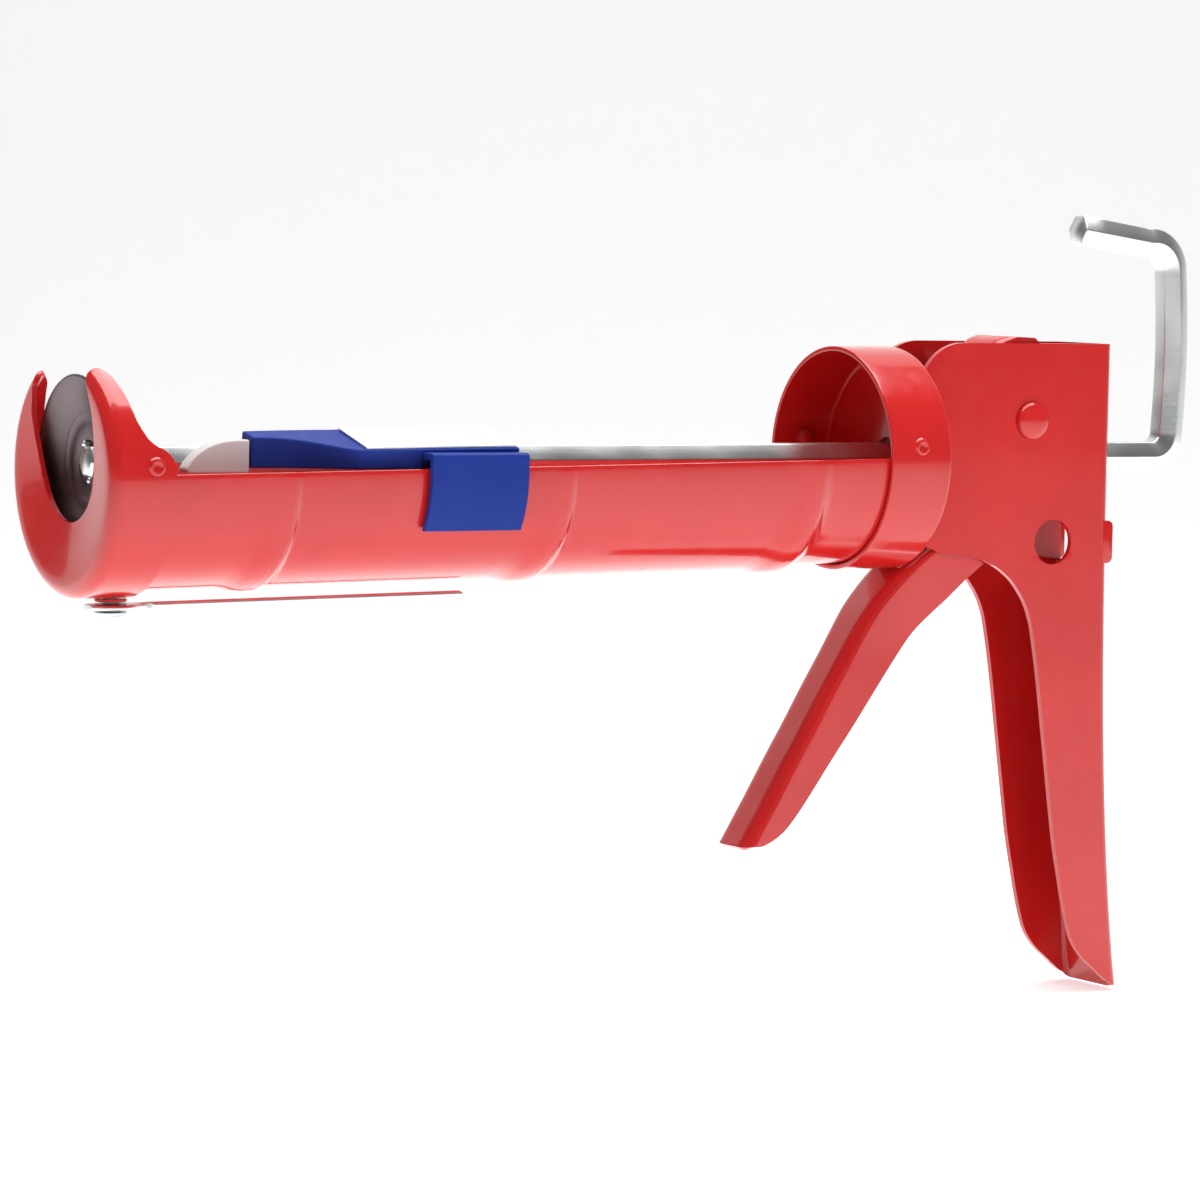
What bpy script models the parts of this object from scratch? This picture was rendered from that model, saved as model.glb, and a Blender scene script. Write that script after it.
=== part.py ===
"""A hand caulking gun for 300 ml cartridges: a half-tube cradle between a horseshoe nose and a rear cup,
a hex push rod with a piston and a ladder hook, a folded handle with a squeeze trigger, and a clip-on
smoothing tool on the cradle's rim.

The pieces are drawn about the rod: X runs along the rod towards its hook, with 0 at the mouth of the
rear cup, Y runs across, with the tool's side negative, and Z runs up. The whole gun is then moved so
that the middle of its box is the origin. Lengths are in metres.
"""

import math

import bmesh
import bpy
from mathutils import Matrix, Vector

MM = 0.001
GAP = 0.3 * MM  # between two pieces that touch

# Rod
ROD_FLATS = 7.2 * MM
HOOK_ARM_X = 100.6 * MM
HOOK_ARM_BOW = 0.9 * MM
HOOK_LOWER_BEND = 6.0 * MM
HOOK_UPPER_BEND = 7.5 * MM
HOOK_HEIGHT = 53.5 * MM
HOOK_TIP_X = 71.7 * MM
HOOK_TIP_RISE = 3.0 * MM
ROD_CLEARANCE = 0.5 * MM

# Rear cup
CUP_RADIUS = 27.0 * MM
CUP_LENGTH = 17.5 * MM
CUP_WALL = 1.2 * MM
CUP_BACK = 1.5 * MM
CUP_CORNER = 1.4 * MM
CUP_DIMPLE_X = 8.5 * MM
CUP_DIMPLE_Z = 3.8 * MM

# Cradle
CRADLE_LENGTH = 198.0 * MM  # from the cup's mouth forwards
CRADLE_RADIUS = 26.2 * MM
CRADLE_WALL = 1.0 * MM
CRADLE_RIM_Z = 1.1 * MM
CRADLE_IN_CUP = 13.0 * MM
BARREL_DROOP = math.radians(0.8)  # the tube and nose hang this much below the rod's line
RIB_HEIGHT = 1.0 * MM
RIB_WIDTH = 9.0 * MM
RIB_ENDS_X = (-158.5 * MM, -87.8 * MM, -18.8 * MM)
JOGGLE_X = -14.0 * MM

# Nose
NOSE_CREST_X = -CRADLE_LENGTH - 5.7 * MM
NOSE_CREST_RADIUS = 24.4 * MM
NOSE_FLANK = 3.2 * MM  # from the crest back to the straight skirt
NOSE_SKIRT = 12.0 * MM  # length of the straight skirt
NOSE_WALL = 1.2 * MM
NOSE_SLOT_RADIUS = 13.4 * MM
NOSE_SLOT_RISE = 2.8 * MM  # the slot's centre is on the rod, above the drooping nose's own
NOSE_DISH_SLOPE = 0.175
NOSE_RIVET_X = -CRADLE_LENGTH + 4.8 * MM
NOSE_RIVET_Z = 3.4 * MM

# Side rivets
STAKE_SHANK = 1.1 * MM
STAKE_HEAD = 1.9 * MM
STAKE_DOME = 0.7 * MM

# Piston
PISTON_RADIUS = 19.6 * MM
PISTON_BOSS_RADIUS = 10.6 * MM
BACK_DISC_RADIUS = 11.8 * MM
BACK_DISC_LIP = 1.4 * MM
PISTON_FACE_X = -CRADLE_LENGTH + 1.0 * MM
ROD_FRONT_X = PISTON_FACE_X - 0.7 * MM
PISTON_DISH = 3.6 * MM
PISTON_SHEET = 1.2 * MM
COLLAR_RADIUS = 7.5 * MM
COLLAR_LENGTH = 3.6 * MM

# Handle
HANDLE_WIDTH = 21.6 * MM
HANDLE_SHEET = 1.5 * MM
HANDLE_BEND = 3.0 * MM
HANDLE_TOP_Z = 28.3 * MM
HANDLE_TIP_Z = -132.4 * MM
SPINE_X = 76.0 * MM
SPINE_SWEEP = 7.0 * MM  # how far the tip lies behind the top
FLANGE_WIDTH = 6.5 * MM
SPOUT_HOLE_RADIUS = 5.55 * MM
SPOUT_HOLE_X = 58.8 * MM
SPOUT_HOLE_Z = -20.5 * MM
SPINE_WINDOW_HEIGHT = 11.0 * MM
SPINE_WINDOW_LIP = 1.4 * MM

# Trigger
PIVOT_X = 51.5 * MM
PIVOT_Z = 9.4 * MM
TRIGGER_TOP_WIDTH = 17.0 * MM
TRIGGER_GRIP_WIDTH = 14.0 * MM
TRIGGER_SHEET = 1.5 * MM
TRIGGER_BEND = 3.2 * MM
PIVOT_SHANK = 3.0 * MM
PIVOT_HEAD = 4.6 * MM
PIVOT_HEAD_HEIGHT = 1.9 * MM
SPACER_RADIUS = 4.6 * MM
CUTTER_THICKNESS = 1.2 * MM
CUTTER_RIVET = 1.4 * MM
CUTTER_RIVET_HEAD = 2.5 * MM
CUTTER_RIVET_X = 44.0 * MM
CUTTER_RIVET_Z = -17.4 * MM

# Drive
DOG_BACK_X = 39.2 * MM
DOG_THICKNESS = 3.0 * MM
DOG_WIDTH = 15.0 * MM
DOG_TOP_Z = 26.0 * MM
DOG_BOTTOM_Z = -8.4 * MM
SPRING_WIRE = 1.3 * MM
SPRING_RADIUS = 6.1 * MM
SPRING_TURNS = 5.5

# Seal punch
PUNCH_X = -CRADLE_LENGTH + 6.5 * MM
PUNCH_WIRE = 1.6 * MM
PUNCH_LENGTH = 90.0 * MM
PUNCH_EYE_RADIUS = 5.7 * MM
PUNCH_RIVET = 1.8 * MM
PUNCH_HEAD = 4.0 * MM
PUNCH_HEAD_HEIGHT = 1.5 * MM
PUNCH_BOSS_HEIGHT = 0.5 * MM
PUNCH_BOSS_RADIUS = 3.7 * MM

# Clip-on smoothing tool
TOOL_REAR_X = -100.2 * MM
TOOL_FRONT_X = -163.5 * MM
TOOL_WALL = 1.6 * MM
TOOL_FOOT_Z = -1.0 * MM
TOOL_SHOULDER_X = -141.0 * MM  # where the top starts to narrow
CLIP_LENGTH = 25.2 * MM
CLIP_DROP = 16.0 * MM
CLIP_WALL = 1.6 * MM
CLIP_CLEARANCE = 0.8 * MM  # outside the cradle
LABEL_LENGTH = 38.6 * MM
LABEL_THICKNESS = 0.5 * MM
BLADE_LENGTH = 16.0 * MM
BLADE_THICKNESS = 4.4 * MM
BLADE_FOOT_Z = -2.0 * MM

ROUND_STEPS = 48
ROD_CORNER = ROD_FLATS / math.sqrt(3)  # from the axis to a corner
ROD_HOLE = ROD_CORNER + ROD_CLEARANCE


# ---------------------------------------------------------------- scene and materials


def clear_scene():
    for obj in list(bpy.data.objects):
        bpy.data.objects.remove(obj, do_unlink=True)


def make_collection(name, hidden):
    collection = bpy.data.collections.new(name)
    bpy.context.scene.collection.children.link(collection)
    collection.hide_render = hidden
    return collection


def make_material(name, colour, roughness, metallic):
    material = bpy.data.materials.new(name)
    material.use_nodes = True
    shader = material.node_tree.nodes["Principled BSDF"]
    shader.inputs["Base Color"].default_value = (*colour, 1.0)
    shader.inputs["Roughness"].default_value = roughness
    shader.inputs["Metallic"].default_value = metallic
    return material


clear_scene()
GUN = make_collection("caulking_gun", hidden=False)
CUTTERS = make_collection("cutters", hidden=True)

RED = make_material("red_paint", (0.62, 0.02, 0.018), 0.25, 0.0)
ZINC = make_material("zinc_steel", (0.62, 0.64, 0.64), 0.3, 1.0)
DARK = make_material("dark_steel", (0.22, 0.22, 0.23), 0.4, 1.0)
BLUE = make_material("blue_plastic", (0.03, 0.07, 0.36), 0.35, 0.0)
WHITE = make_material("white_silicone", (0.85, 0.85, 0.83), 0.5, 0.0)
LABEL = make_material("white_label", (0.9, 0.9, 0.9), 0.4, 0.0)


# ---------------------------------------------------------------- shape helpers


def add_piece(name, mesh, material, parent=None):
    """A named sub-part in the gun's collection."""
    obj = bpy.data.objects.new(name, mesh)
    GUN.objects.link(obj)
    if material:
        mesh.materials.clear()
        mesh.materials.append(material)
    obj.parent = parent
    return obj


def add_cutter(name, mesh, parent=None):
    obj = bpy.data.objects.new(name, mesh)
    CUTTERS.objects.link(obj)
    obj.hide_render = True
    obj.display_type = "WIRE"
    obj.parent = parent
    return obj


def boolean(obj, other, operation):
    modifier = obj.modifiers.new(operation.lower(), "BOOLEAN")
    modifier.operation = operation
    modifier.solver = "EXACT"
    modifier.object = other


def cut(obj, cutter):
    boolean(obj, cutter, "DIFFERENCE")


def join(obj, other):
    boolean(obj, other, "UNION")


def smooth(mesh, degrees=35):
    mesh.shade_smooth()
    mesh.set_sharp_from_angle(angle=math.radians(degrees))


def arc(centre, radius, start, end, count):
    """Points on an arc from one angle to another, in degrees."""
    angles = [math.radians(start + (end - start) * i / count) for i in range(count + 1)]
    return [(centre[0] + radius * math.cos(a), centre[1] + radius * math.sin(a)) for a in angles]


def prism_mesh(name, outline, axis, low, high):
    """An outline extruded along an axis: (x, z) for axis Y, (y, z) for X and (x, y) for Z."""
    place = {
        "X": lambda a, b, t: (t, a, b),
        "Y": lambda a, b, t: (a, t, b),
        "Z": lambda a, b, t: (a, b, t),
    }[axis]
    mesh = bpy.data.meshes.new(name)
    form = bmesh.new()
    face = form.faces.new([form.verts.new(place(a, b, low)) for a, b in outline])
    moved = bmesh.ops.extrude_face_region(form, geom=[face])["geom"]
    verts = [item for item in moved if isinstance(item, bmesh.types.BMVert)]
    bmesh.ops.translate(form, verts=verts, vec=Vector(place(0, 0, high - low)))
    bmesh.ops.recalc_face_normals(form, faces=form.faces)
    form.to_mesh(mesh)
    form.free()
    return mesh


def box_mesh(name, low, high):
    mesh = bpy.data.meshes.new(name)
    form = bmesh.new()
    bmesh.ops.create_cube(form, size=1.0)
    size = Vector(high) - Vector(low)
    middle = (Vector(high) + Vector(low)) / 2
    place = Matrix.Translation(middle) @ Matrix.Diagonal((*size, 1))
    bmesh.ops.transform(form, matrix=place, verts=form.verts)
    form.to_mesh(mesh)
    form.free()
    return mesh


def drum_mesh(name, radius, axis, centre, low, high, steps=32):
    """A plain cylinder along an axis, between two places on it. centre is its place on the other two."""
    mesh = bpy.data.meshes.new(name)
    form = bmesh.new()
    bmesh.ops.create_cone(
        form, cap_ends=True, segments=steps, radius1=radius, radius2=radius, depth=high - low
    )
    turn = {
        "X": Matrix.Rotation(math.pi / 2, 4, "Y"),
        "Y": Matrix.Rotation(math.pi / 2, 4, "X"),
        "Z": Matrix(),
    }
    middle = (low + high) / 2
    place = {
        "X": Vector((middle, *centre)),
        "Y": Vector((centre[0], middle, centre[1])),
        "Z": Vector((*centre, middle)),
    }
    bmesh.ops.transform(form, matrix=Matrix.Translation(place[axis]) @ turn[axis], verts=form.verts)
    form.to_mesh(mesh)
    form.free()
    return mesh


def grid_mesh(name, rows, closed_rows=False, capped=False, flip=False):
    """A surface through rows of points. Closed rows make a tube, and capped fills its two ends.

    An open surface faces the way its rows run, and flip turns it round.
    """
    mesh = bpy.data.meshes.new(name)
    form = bmesh.new()
    lines = [[form.verts.new(point) for point in row] for row in rows]
    count = len(lines[0])
    for here, there in zip(lines, lines[1:]):
        for i in range(count if closed_rows else count - 1):
            j = (i + 1) % count
            form.faces.new((here[i], here[j], there[j], there[i]))
    if capped:
        form.faces.new(reversed(lines[0]))
        form.faces.new(lines[-1])
        bmesh.ops.recalc_face_normals(form, faces=form.faces)
    elif flip:
        bmesh.ops.reverse_faces(form, faces=form.faces)
    form.to_mesh(mesh)
    form.free()
    return mesh


def turned_piece(name, profile, material, parent, axis="X", place=(0, 0, 0), steps=ROUND_STEPS):
    """A closed profile of (radius, distance along the axis) turned a full circle.

    The profile runs down its outer side, so the distances fall along the first stretch.
    """
    mesh = bpy.data.meshes.new(name)
    count = len(profile)
    mesh.from_pydata([(r, 0, h) for r, h in profile], [(i, (i + 1) % count) for i in range(count)], [])
    obj = add_piece(name, mesh, material, parent)
    obj.location = place
    obj.rotation_euler = {"X": (0, math.pi / 2, 0), "Y": (-math.pi / 2, 0, 0), "Z": (0, 0, 0)}[axis]
    turn_profile(obj, 2 * math.pi, steps)
    return obj


def turn_profile(obj, angle, steps):
    screw = obj.modifiers.new("turn", "SCREW")
    screw.axis = "Z"
    screw.angle = angle
    screw.steps = steps
    screw.render_steps = steps
    screw.use_merge_vertices = True
    screw.merge_threshold = 0.00001
    screw.use_smooth_shade = True


def thicken(obj, thickness):
    solidify = obj.modifiers.new("sheet", "SOLIDIFY")
    solidify.thickness = thickness
    solidify.offset = -1.0
    solidify.use_even_offset = True
    solidify.use_rim = True


def soften(obj, width, segments=2, degrees=50):
    bevel = obj.modifiers.new("soften", "BEVEL")
    bevel.width = width
    bevel.segments = segments
    bevel.limit_method = "ANGLE"
    bevel.angle_limit = math.radians(degrees)
    bevel.use_clamp_overlap = True


def wire_piece(name, points, radius, material, parent=None, sides=2):
    curve = bpy.data.curves.new(name, "CURVE")
    curve.dimensions = "3D"
    curve.twist_mode = "MINIMUM"
    curve.bevel_depth = radius
    curve.bevel_resolution = sides
    curve.use_fill_caps = True
    spline = curve.splines.new("POLY")
    spline.points.add(len(points) - 1)
    for point, place in zip(spline.points, points):
        point.co = (*place, 1)
    obj = bpy.data.objects.new(name, curve)
    GUN.objects.link(obj)
    obj.data.materials.append(material)
    obj.parent = parent
    return obj


def as_mesh(obj):
    """A curve object turned into a mesh object, with its caps welded on."""
    graph = bpy.context.evaluated_depsgraph_get()
    mesh = bpy.data.meshes.new_from_object(obj.evaluated_get(graph))
    form = bmesh.new()
    form.from_mesh(mesh)
    bmesh.ops.remove_doubles(form, verts=form.verts, dist=0.000001)
    bmesh.ops.recalc_face_normals(form, faces=form.faces)
    form.to_mesh(mesh)
    form.free()
    name, parent, place = obj.name, obj.parent, obj.matrix_world.copy()
    bpy.data.objects.remove(obj, do_unlink=True)
    mesh.name = name
    made = bpy.data.objects.new(name, mesh)
    GUN.objects.link(made)
    made.parent = parent
    made.matrix_world = place
    return made


def add_empty(name, place, parent):
    empty = bpy.data.objects.new(name, None)
    GUN.objects.link(empty)
    empty.empty_display_size = 0.01
    empty.location = place
    empty.parent = parent
    return empty


FRAME = add_empty("gun_frame", (0, 0, 0), None)
BARREL = add_empty("barrel", (0, 0, 0), FRAME)
BARREL.rotation_euler = (0, -BARREL_DROOP, 0)


# ---------------------------------------------------------------- cradle, cup and nose


def cradle_profile():
    """(radius, x) of the cradle's outside, from the cup forwards, with three raised ribs."""
    inner = CUP_RADIUS - CUP_WALL - GAP
    points = [(inner, CRADLE_IN_CUP), (inner, JOGGLE_X)]
    for end in reversed(RIB_ENDS_X):
        points += [
            (CRADLE_RADIUS, end + 1.6 * MM),
            (CRADLE_RADIUS + 0.75 * RIB_HEIGHT, end + 0.2 * MM),
            (CRADLE_RADIUS + RIB_HEIGHT, end - 1.6 * MM),
            (CRADLE_RADIUS + 0.85 * RIB_HEIGHT, end - 0.45 * RIB_WIDTH),
            (CRADLE_RADIUS + 0.35 * RIB_HEIGHT, end - 0.75 * RIB_WIDTH),
            (CRADLE_RADIUS, end - RIB_WIDTH),
        ]
    points.append((CRADLE_RADIUS, -CRADLE_LENGTH))
    return points


def build_cradle():
    rise = math.asin(CRADLE_RIM_Z / CRADLE_RADIUS)
    steps = 24
    rows = []
    for radius, x in cradle_profile():
        angles = [math.pi - rise + (math.pi + 2 * rise) * i / steps for i in range(steps + 1)]
        rows.append([(x, radius * math.cos(a), radius * math.sin(a)) for a in angles])
    mesh = grid_mesh("cradle", rows, flip=True)
    cradle = add_piece("cradle", mesh, RED, BARREL)
    thicken(cradle, CRADLE_WALL)
    smooth(mesh)
    return cradle


def stake_hole(name, side, x, z, radius, parent):
    """A drum that cuts the hole of one side rivet through a round sheet."""
    low, high = sorted((side * 0.75 * radius, side * 1.2 * radius))
    return add_cutter(name, drum_mesh(name, STAKE_SHANK + GAP, "Y", (x, z), low, high, 16), parent)


def build_stake(name, side, x, z, radius, wall, parent):
    """A small side rivet through a round sheet, just above the cradle's rim."""
    outside = radius + GAP
    inside = math.sqrt((radius - wall) ** 2 - (z + STAKE_HEAD) ** 2) - GAP
    profile = [
        (0.4 * STAKE_HEAD, outside + STAKE_DOME),
        (0.85 * STAKE_HEAD, outside + 0.6 * STAKE_DOME),
        (STAKE_HEAD, outside),
        (STAKE_SHANK, outside),
        (STAKE_SHANK, inside),
        (STAKE_HEAD, inside),
        (STAKE_HEAD, inside - 0.6 * STAKE_DOME),
    ]
    return turned_solid(name, profile, RED, parent, "Y", (x, 0, z), side)


def turned_solid(name, profile, material, parent, axis, place, side=1, steps=20):
    """A solid turned about an axis, closed on the axis at both ends. side -1 turns it end for end."""
    closed = [(0, profile[0][1])] + profile + [(0, profile[-1][1])]
    mesh = bpy.data.meshes.new(name)
    mesh.from_pydata([(r, 0, h) for r, h in closed], [(i, i + 1) for i in range(len(closed) - 1)], [])
    obj = add_piece(name, mesh, material, parent)
    obj.location = place
    tilt = math.pi / 2 if side < 0 else -math.pi / 2
    turns = {"X": (0, side * math.pi / 2, 0), "Y": (tilt, 0, 0), "Z": (0 if side > 0 else math.pi, 0, 0)}
    obj.rotation_euler = turns[axis]
    turn_profile(obj, 2 * math.pi, steps)
    return obj


def build_rear_cup():
    outer, inner = CUP_RADIUS, CUP_RADIUS - CUP_WALL
    back = CUP_LENGTH - CUP_BACK
    corner = arc((outer - CUP_CORNER, CUP_LENGTH - CUP_CORNER), CUP_CORNER, 90, 0, 3)
    profile = corner + [(outer, 0), (inner, 0), (inner, back), (ROD_HOLE, back), (ROD_HOLE, CUP_LENGTH)]
    cup = turned_piece("rear_cup", profile, RED, FRAME)
    for side in (-1, 1):
        cut(cup, stake_hole(f"cup_hole_{side}", side, CUP_DIMPLE_X, CUP_DIMPLE_Z, CUP_RADIUS, FRAME))
    return cup


def nose_point(along):
    """(radius, x) of the nose's outside: 0 to 1 the skirt, to 2 the rounded flank, to 3 the slightly dished face."""
    outer = CRADLE_RADIUS + GAP + NOSE_WALL
    flank_x = NOSE_CREST_X + NOSE_FLANK
    if along <= 1:
        return outer, flank_x + NOSE_SKIRT * (1 - along)
    if along <= 2:
        turn = (along - 1) * math.pi / 2
        radius = NOSE_CREST_RADIUS + (outer - NOSE_CREST_RADIUS) * math.cos(turn)
        return radius, flank_x - NOSE_FLANK * math.sin(turn)
    deep = (NOSE_CREST_RADIUS - NOSE_SLOT_RADIUS) * (along - 2)
    lip = 1.8 * MM  # the crest is rounded over this much
    return NOSE_CREST_RADIUS - deep, NOSE_CREST_X + NOSE_DISH_SLOPE * (math.hypot(deep, lip) - lip)


def nose_edges():
    """How far round from the bottom in degrees, and where the sheet starts and ends along its section.

    Up to the middle the skirt and the face are whole. Above it the sheet narrows to a horn on each side.
    """
    whole = []
    for i in range(12):
        turn = 8.0 * i
        low = NOSE_SLOT_RISE * math.cos(math.radians(turn))
        slot = math.sqrt(low**2 + NOSE_SLOT_RADIUS**2 - NOSE_SLOT_RISE**2) - low
        reach = (NOSE_CREST_RADIUS - slot) / (NOSE_CREST_RADIUS - NOSE_SLOT_RADIUS)
        whole.append((turn, 0.0, 2 + reach))
    horn = [
        (94.0, 0.0, 2.98),
        (98.0, 0.07, 2.94),
        (101.0, 0.19, 2.91),
        (102.8, 0.36, 2.89),
        (106.0, 0.52, 2.85),
        (110.7, 0.62, 2.79),
        (115.3, 0.69, 2.71),
        (121.8, 0.73, 2.56),
        (128.8, 0.77, 2.39),
        (133.0, 0.80, 2.27),
        (137.0, 0.84, 2.20),
        (141.3, 0.87, 2.10),
        (145.0, 0.94, 1.92),
        (148.0, 1.02, 1.74),
    ]
    right = whole + horn
    return [(-turn, start, end) for turn, start, end in reversed(right[1:])] + right


def build_nose_cap():
    steps = 14
    rows = []
    for turn, start, end in nose_edges():
        angle = math.radians(turn)
        row = []
        for i in range(steps + 1):
            radius, x = nose_point(start + (end - start) * i / steps)
            row.append((x, -radius * math.sin(angle), -radius * math.cos(angle)))
        rows.append(row)
    mesh = grid_mesh("nose_cap", rows, flip=True)
    nose = add_piece("nose_cap", mesh, RED, BARREL)
    thicken(nose, NOSE_WALL)
    smooth(mesh)
    outside = CRADLE_RADIUS + GAP + NOSE_WALL
    for side in (-1, 1):
        cut(nose, stake_hole(f"nose_hole_{side}", side, NOSE_RIVET_X, NOSE_RIVET_Z, outside, BARREL))
    low, high = -outside - 5 * MM, -0.7 * outside
    hole = drum_mesh("punch_hole", PUNCH_RIVET + GAP, "Z", (PUNCH_X, 0), low, high, 16)
    punch_hole = add_cutter("punch_hole", hole, BARREL)
    cut(nose, punch_hole)
    return nose, punch_hole


# ---------------------------------------------------------------- rod and piston


def hook_path():
    """(x, z) of the rod's centre line, from its front end round the ladder hook."""
    lower, upper = HOOK_LOWER_BEND, HOOK_UPPER_BEND
    arm = HOOK_ARM_X
    drop = math.atan2(HOOK_TIP_RISE, arm - upper - HOOK_TIP_X)
    path = [(ROD_FRONT_X, 0)]
    path += arc((arm - lower, lower), lower, -90, 0, 6)
    low, high = lower, HOOK_HEIGHT - upper
    for i in range(1, 5):
        share = i / 5
        bow = HOOK_ARM_BOW * math.sin(math.pi * share)
        path.append((arm + bow, low + (high - low) * share))
    path += arc((arm - upper, high), upper, 0, 90 + math.degrees(drop), 7)
    last = path[-1]
    path.append((HOOK_TIP_X, last[1] + (last[0] - HOOK_TIP_X) * math.tan(drop)))
    return path


def build_rod(carrier):
    """The hex rod, with a corner to each side and a flat on top."""
    points = [(x, 0, z) for x, z in hook_path()]
    return as_mesh(wire_piece("hex_rod", points, ROD_CORNER, ZINC, carrier, sides=1))


def build_piston(carrier):
    flat, rim, sheet = PISTON_BOSS_RADIUS, PISTON_RADIUS, PISTON_SHEET
    face = PISTON_FACE_X
    front = [
        (ROD_HOLE, face + sheet),
        (flat, face + sheet),
        (flat + 1.6 * MM, face + sheet - 0.4 * MM),
        (rim - 1.5 * MM, face - PISTON_DISH + sheet + 0.6 * MM),
        (rim, face - PISTON_DISH + sheet),
        (rim, face - PISTON_DISH),
        (rim - 1.8 * MM, face - PISTON_DISH + 0.4 * MM),
        (flat + 1.0 * MM, face - 0.7 * MM),
        (flat, face - 0.7 * MM),
        (flat - 0.6 * MM, face),
        (ROD_HOLE, face),
    ]
    turned_piece("piston_front_disc", front, DARK, carrier)
    back = face + sheet + GAP
    lip = BACK_DISC_RADIUS
    rear = [
        (lip, back + sheet + BACK_DISC_LIP),
        (lip, back + 0.6 * MM),
        (lip - 0.6 * MM, back),
        (ROD_HOLE, back),
        (ROD_HOLE, back + sheet),
        (lip - sheet, back + sheet),
        (lip - sheet, back + sheet + BACK_DISC_LIP),
    ]
    turned_piece("piston_back_disc", rear, ZINC, carrier)
    seat = back + sheet + GAP
    collar = [
        (COLLAR_RADIUS, seat + COLLAR_LENGTH - 0.6 * MM),
        (COLLAR_RADIUS, seat),
        (ROD_HOLE, seat),
        (ROD_HOLE, seat + COLLAR_LENGTH),
        (COLLAR_RADIUS - 0.6 * MM, seat + COLLAR_LENGTH),
    ]
    turned_piece("piston_collar", collar, ZINC, carrier, steps=24)


# ---------------------------------------------------------------- handle and trigger


def channel_mesh(name, rows, bend, flip, folds=3):
    """The outer surface of a sheet folded into a U.

    A row is (fold point, edge point, half width): the fold's web lies at the first point and the two
    cheeks reach to the second, in X and Z.
    """
    lines = []
    for fold, edge, half in rows:
        fold, edge = Vector(fold), Vector(edge)
        inward = (edge - fold).normalized()
        line = [(edge, -half)]
        for i in range(folds + 1):
            a = math.pi / 2 * i / folds
            line.append((fold + inward * bend * (1 - math.sin(a)), -(half - bend * (1 - math.cos(a)))))
        line += [(place, -y) for place, y in reversed(line)]
        lines.append([(place.x, y, place.y) for place, y in line])
    return grid_mesh(name, lines, flip=flip)


def handle_rows():
    """Fold point on the spine, edge point at the front, and half width, from the top down.

    The belly's rows give the edge point and the height of the fold point, in millimetres.
    """
    half = HANDLE_WIDTH / 2
    front = CUP_LENGTH + GAP + 0.5 * HANDLE_SHEET
    top, tip = HANDLE_TOP_Z, HANDLE_TIP_Z

    def spine(z):
        share = (top - z) / (top - tip)
        return SPINE_X + SPINE_SWEEP * share**3.2

    corner = arc((front + 13.0 * MM, top - 11.5 * MM), 1.0, 90, 180, 5)
    rows = []
    for x, z in corner:
        edge_x = front + 13.0 * MM + (x - front - 13.0 * MM) * 13.0 * MM
        edge_z = top - 11.5 * MM + (z - top + 11.5 * MM) * 11.5 * MM
        rows.append(((spine(edge_z), edge_z), (edge_x, edge_z)))
    rows += [((spine(z), z), (front, z)) for z in (5 * MM, -5 * MM, -14 * MM, -20.4 * MM)]
    belly = [
        (25.0, -22.4, -21.6),
        (31.0, -23.6, -23.2),
        (37.0, -24.4, -25.2),
        (42.0, -26.4, -28.4),
        (46.8, -29.9, -33.0),
        (50.4, -34.6, -38.4),
        (52.8, -40.0, -44.0),
        (54.4, -47.0, -51.0),
        (56.8, -62.0, -66.0),
        (59.4, -79.0, -83.0),
        (62.4, -98.0, -101.0),
        (64.8, -109.0, -111.4),
        (67.2, -117.6, -119.4),
        (70.6, -123.4, -125.2),
        (75.2, -127.6, -129.2),
    ]
    for x, z, drop in belly:
        rows.append(((spine(drop * MM), drop * MM), (x * MM, z * MM)))
    rows.append(((spine(tip), tip), (78.4 * MM, tip + 2.2 * MM)))
    return [(fold, edge, half) for fold, edge in rows]


def build_handle():
    mesh = channel_mesh("handle_frame", handle_rows(), HANDLE_BEND, flip=True)
    handle = add_piece("handle_frame", mesh, RED, FRAME)
    thicken(handle, HANDLE_SHEET)
    smooth(mesh)
    half, sheet = HANDLE_WIDTH / 2, HANDLE_SHEET
    front = CUP_LENGTH + GAP
    for side in (-1, 1):
        low, high = sorted((side * (half - 0.6 * sheet), side * (half + FLANGE_WIDTH)))
        flange = box_mesh(f"flange_{side}", (front, low, -15 * MM), (front + sheet, high, 12 * MM))
        join(handle, add_cutter(f"flange_{side}", flange, FRAME))
        lip_y = sorted((side * (half - 0.9 * sheet), side * (half - 0.1 * sheet)))
        lip = box_mesh(
            f"lip_{side}",
            (SPINE_X - 6 * MM, lip_y[0], SPOUT_HOLE_Z - SPINE_WINDOW_HEIGHT / 2 - 0.8 * MM),
            (SPINE_X + SPINE_WINDOW_LIP, lip_y[1], SPOUT_HOLE_Z + SPINE_WINDOW_HEIGHT / 2 + 0.8 * MM),
        )
        join(handle, add_cutter(f"lip_{side}", lip, FRAME))
    window = box_mesh(
        "spine_window",
        (SPINE_X - HANDLE_BEND - 0.5 * MM, sheet - half, SPOUT_HOLE_Z - SPINE_WINDOW_HEIGHT / 2),
        (SPINE_X + 6 * MM, half - sheet, SPOUT_HOLE_Z + SPINE_WINDOW_HEIGHT / 2),
    )
    cut(handle, add_cutter("spine_window", window, FRAME))
    spout = drum_mesh("spout_hole", SPOUT_HOLE_RADIUS, "Y", (SPOUT_HOLE_X, SPOUT_HOLE_Z), -20 * MM, 0, 36)
    cut(handle, add_cutter("spout_hole", spout, FRAME))
    pivot = drum_mesh("handle_pivot_hole", PIVOT_SHANK + GAP, "Y", (PIVOT_X, PIVOT_Z), -20 * MM, 20 * MM, 24)
    cut(handle, add_cutter("handle_pivot_hole", pivot, FRAME))
    exit_hole = drum_mesh("rod_exit", ROD_HOLE, "X", (0, 0), SPINE_X - 8 * MM, SPINE_X + 8 * MM, 24)
    cut(handle, add_cutter("rod_exit", exit_hole, FRAME))
    return handle


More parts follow.
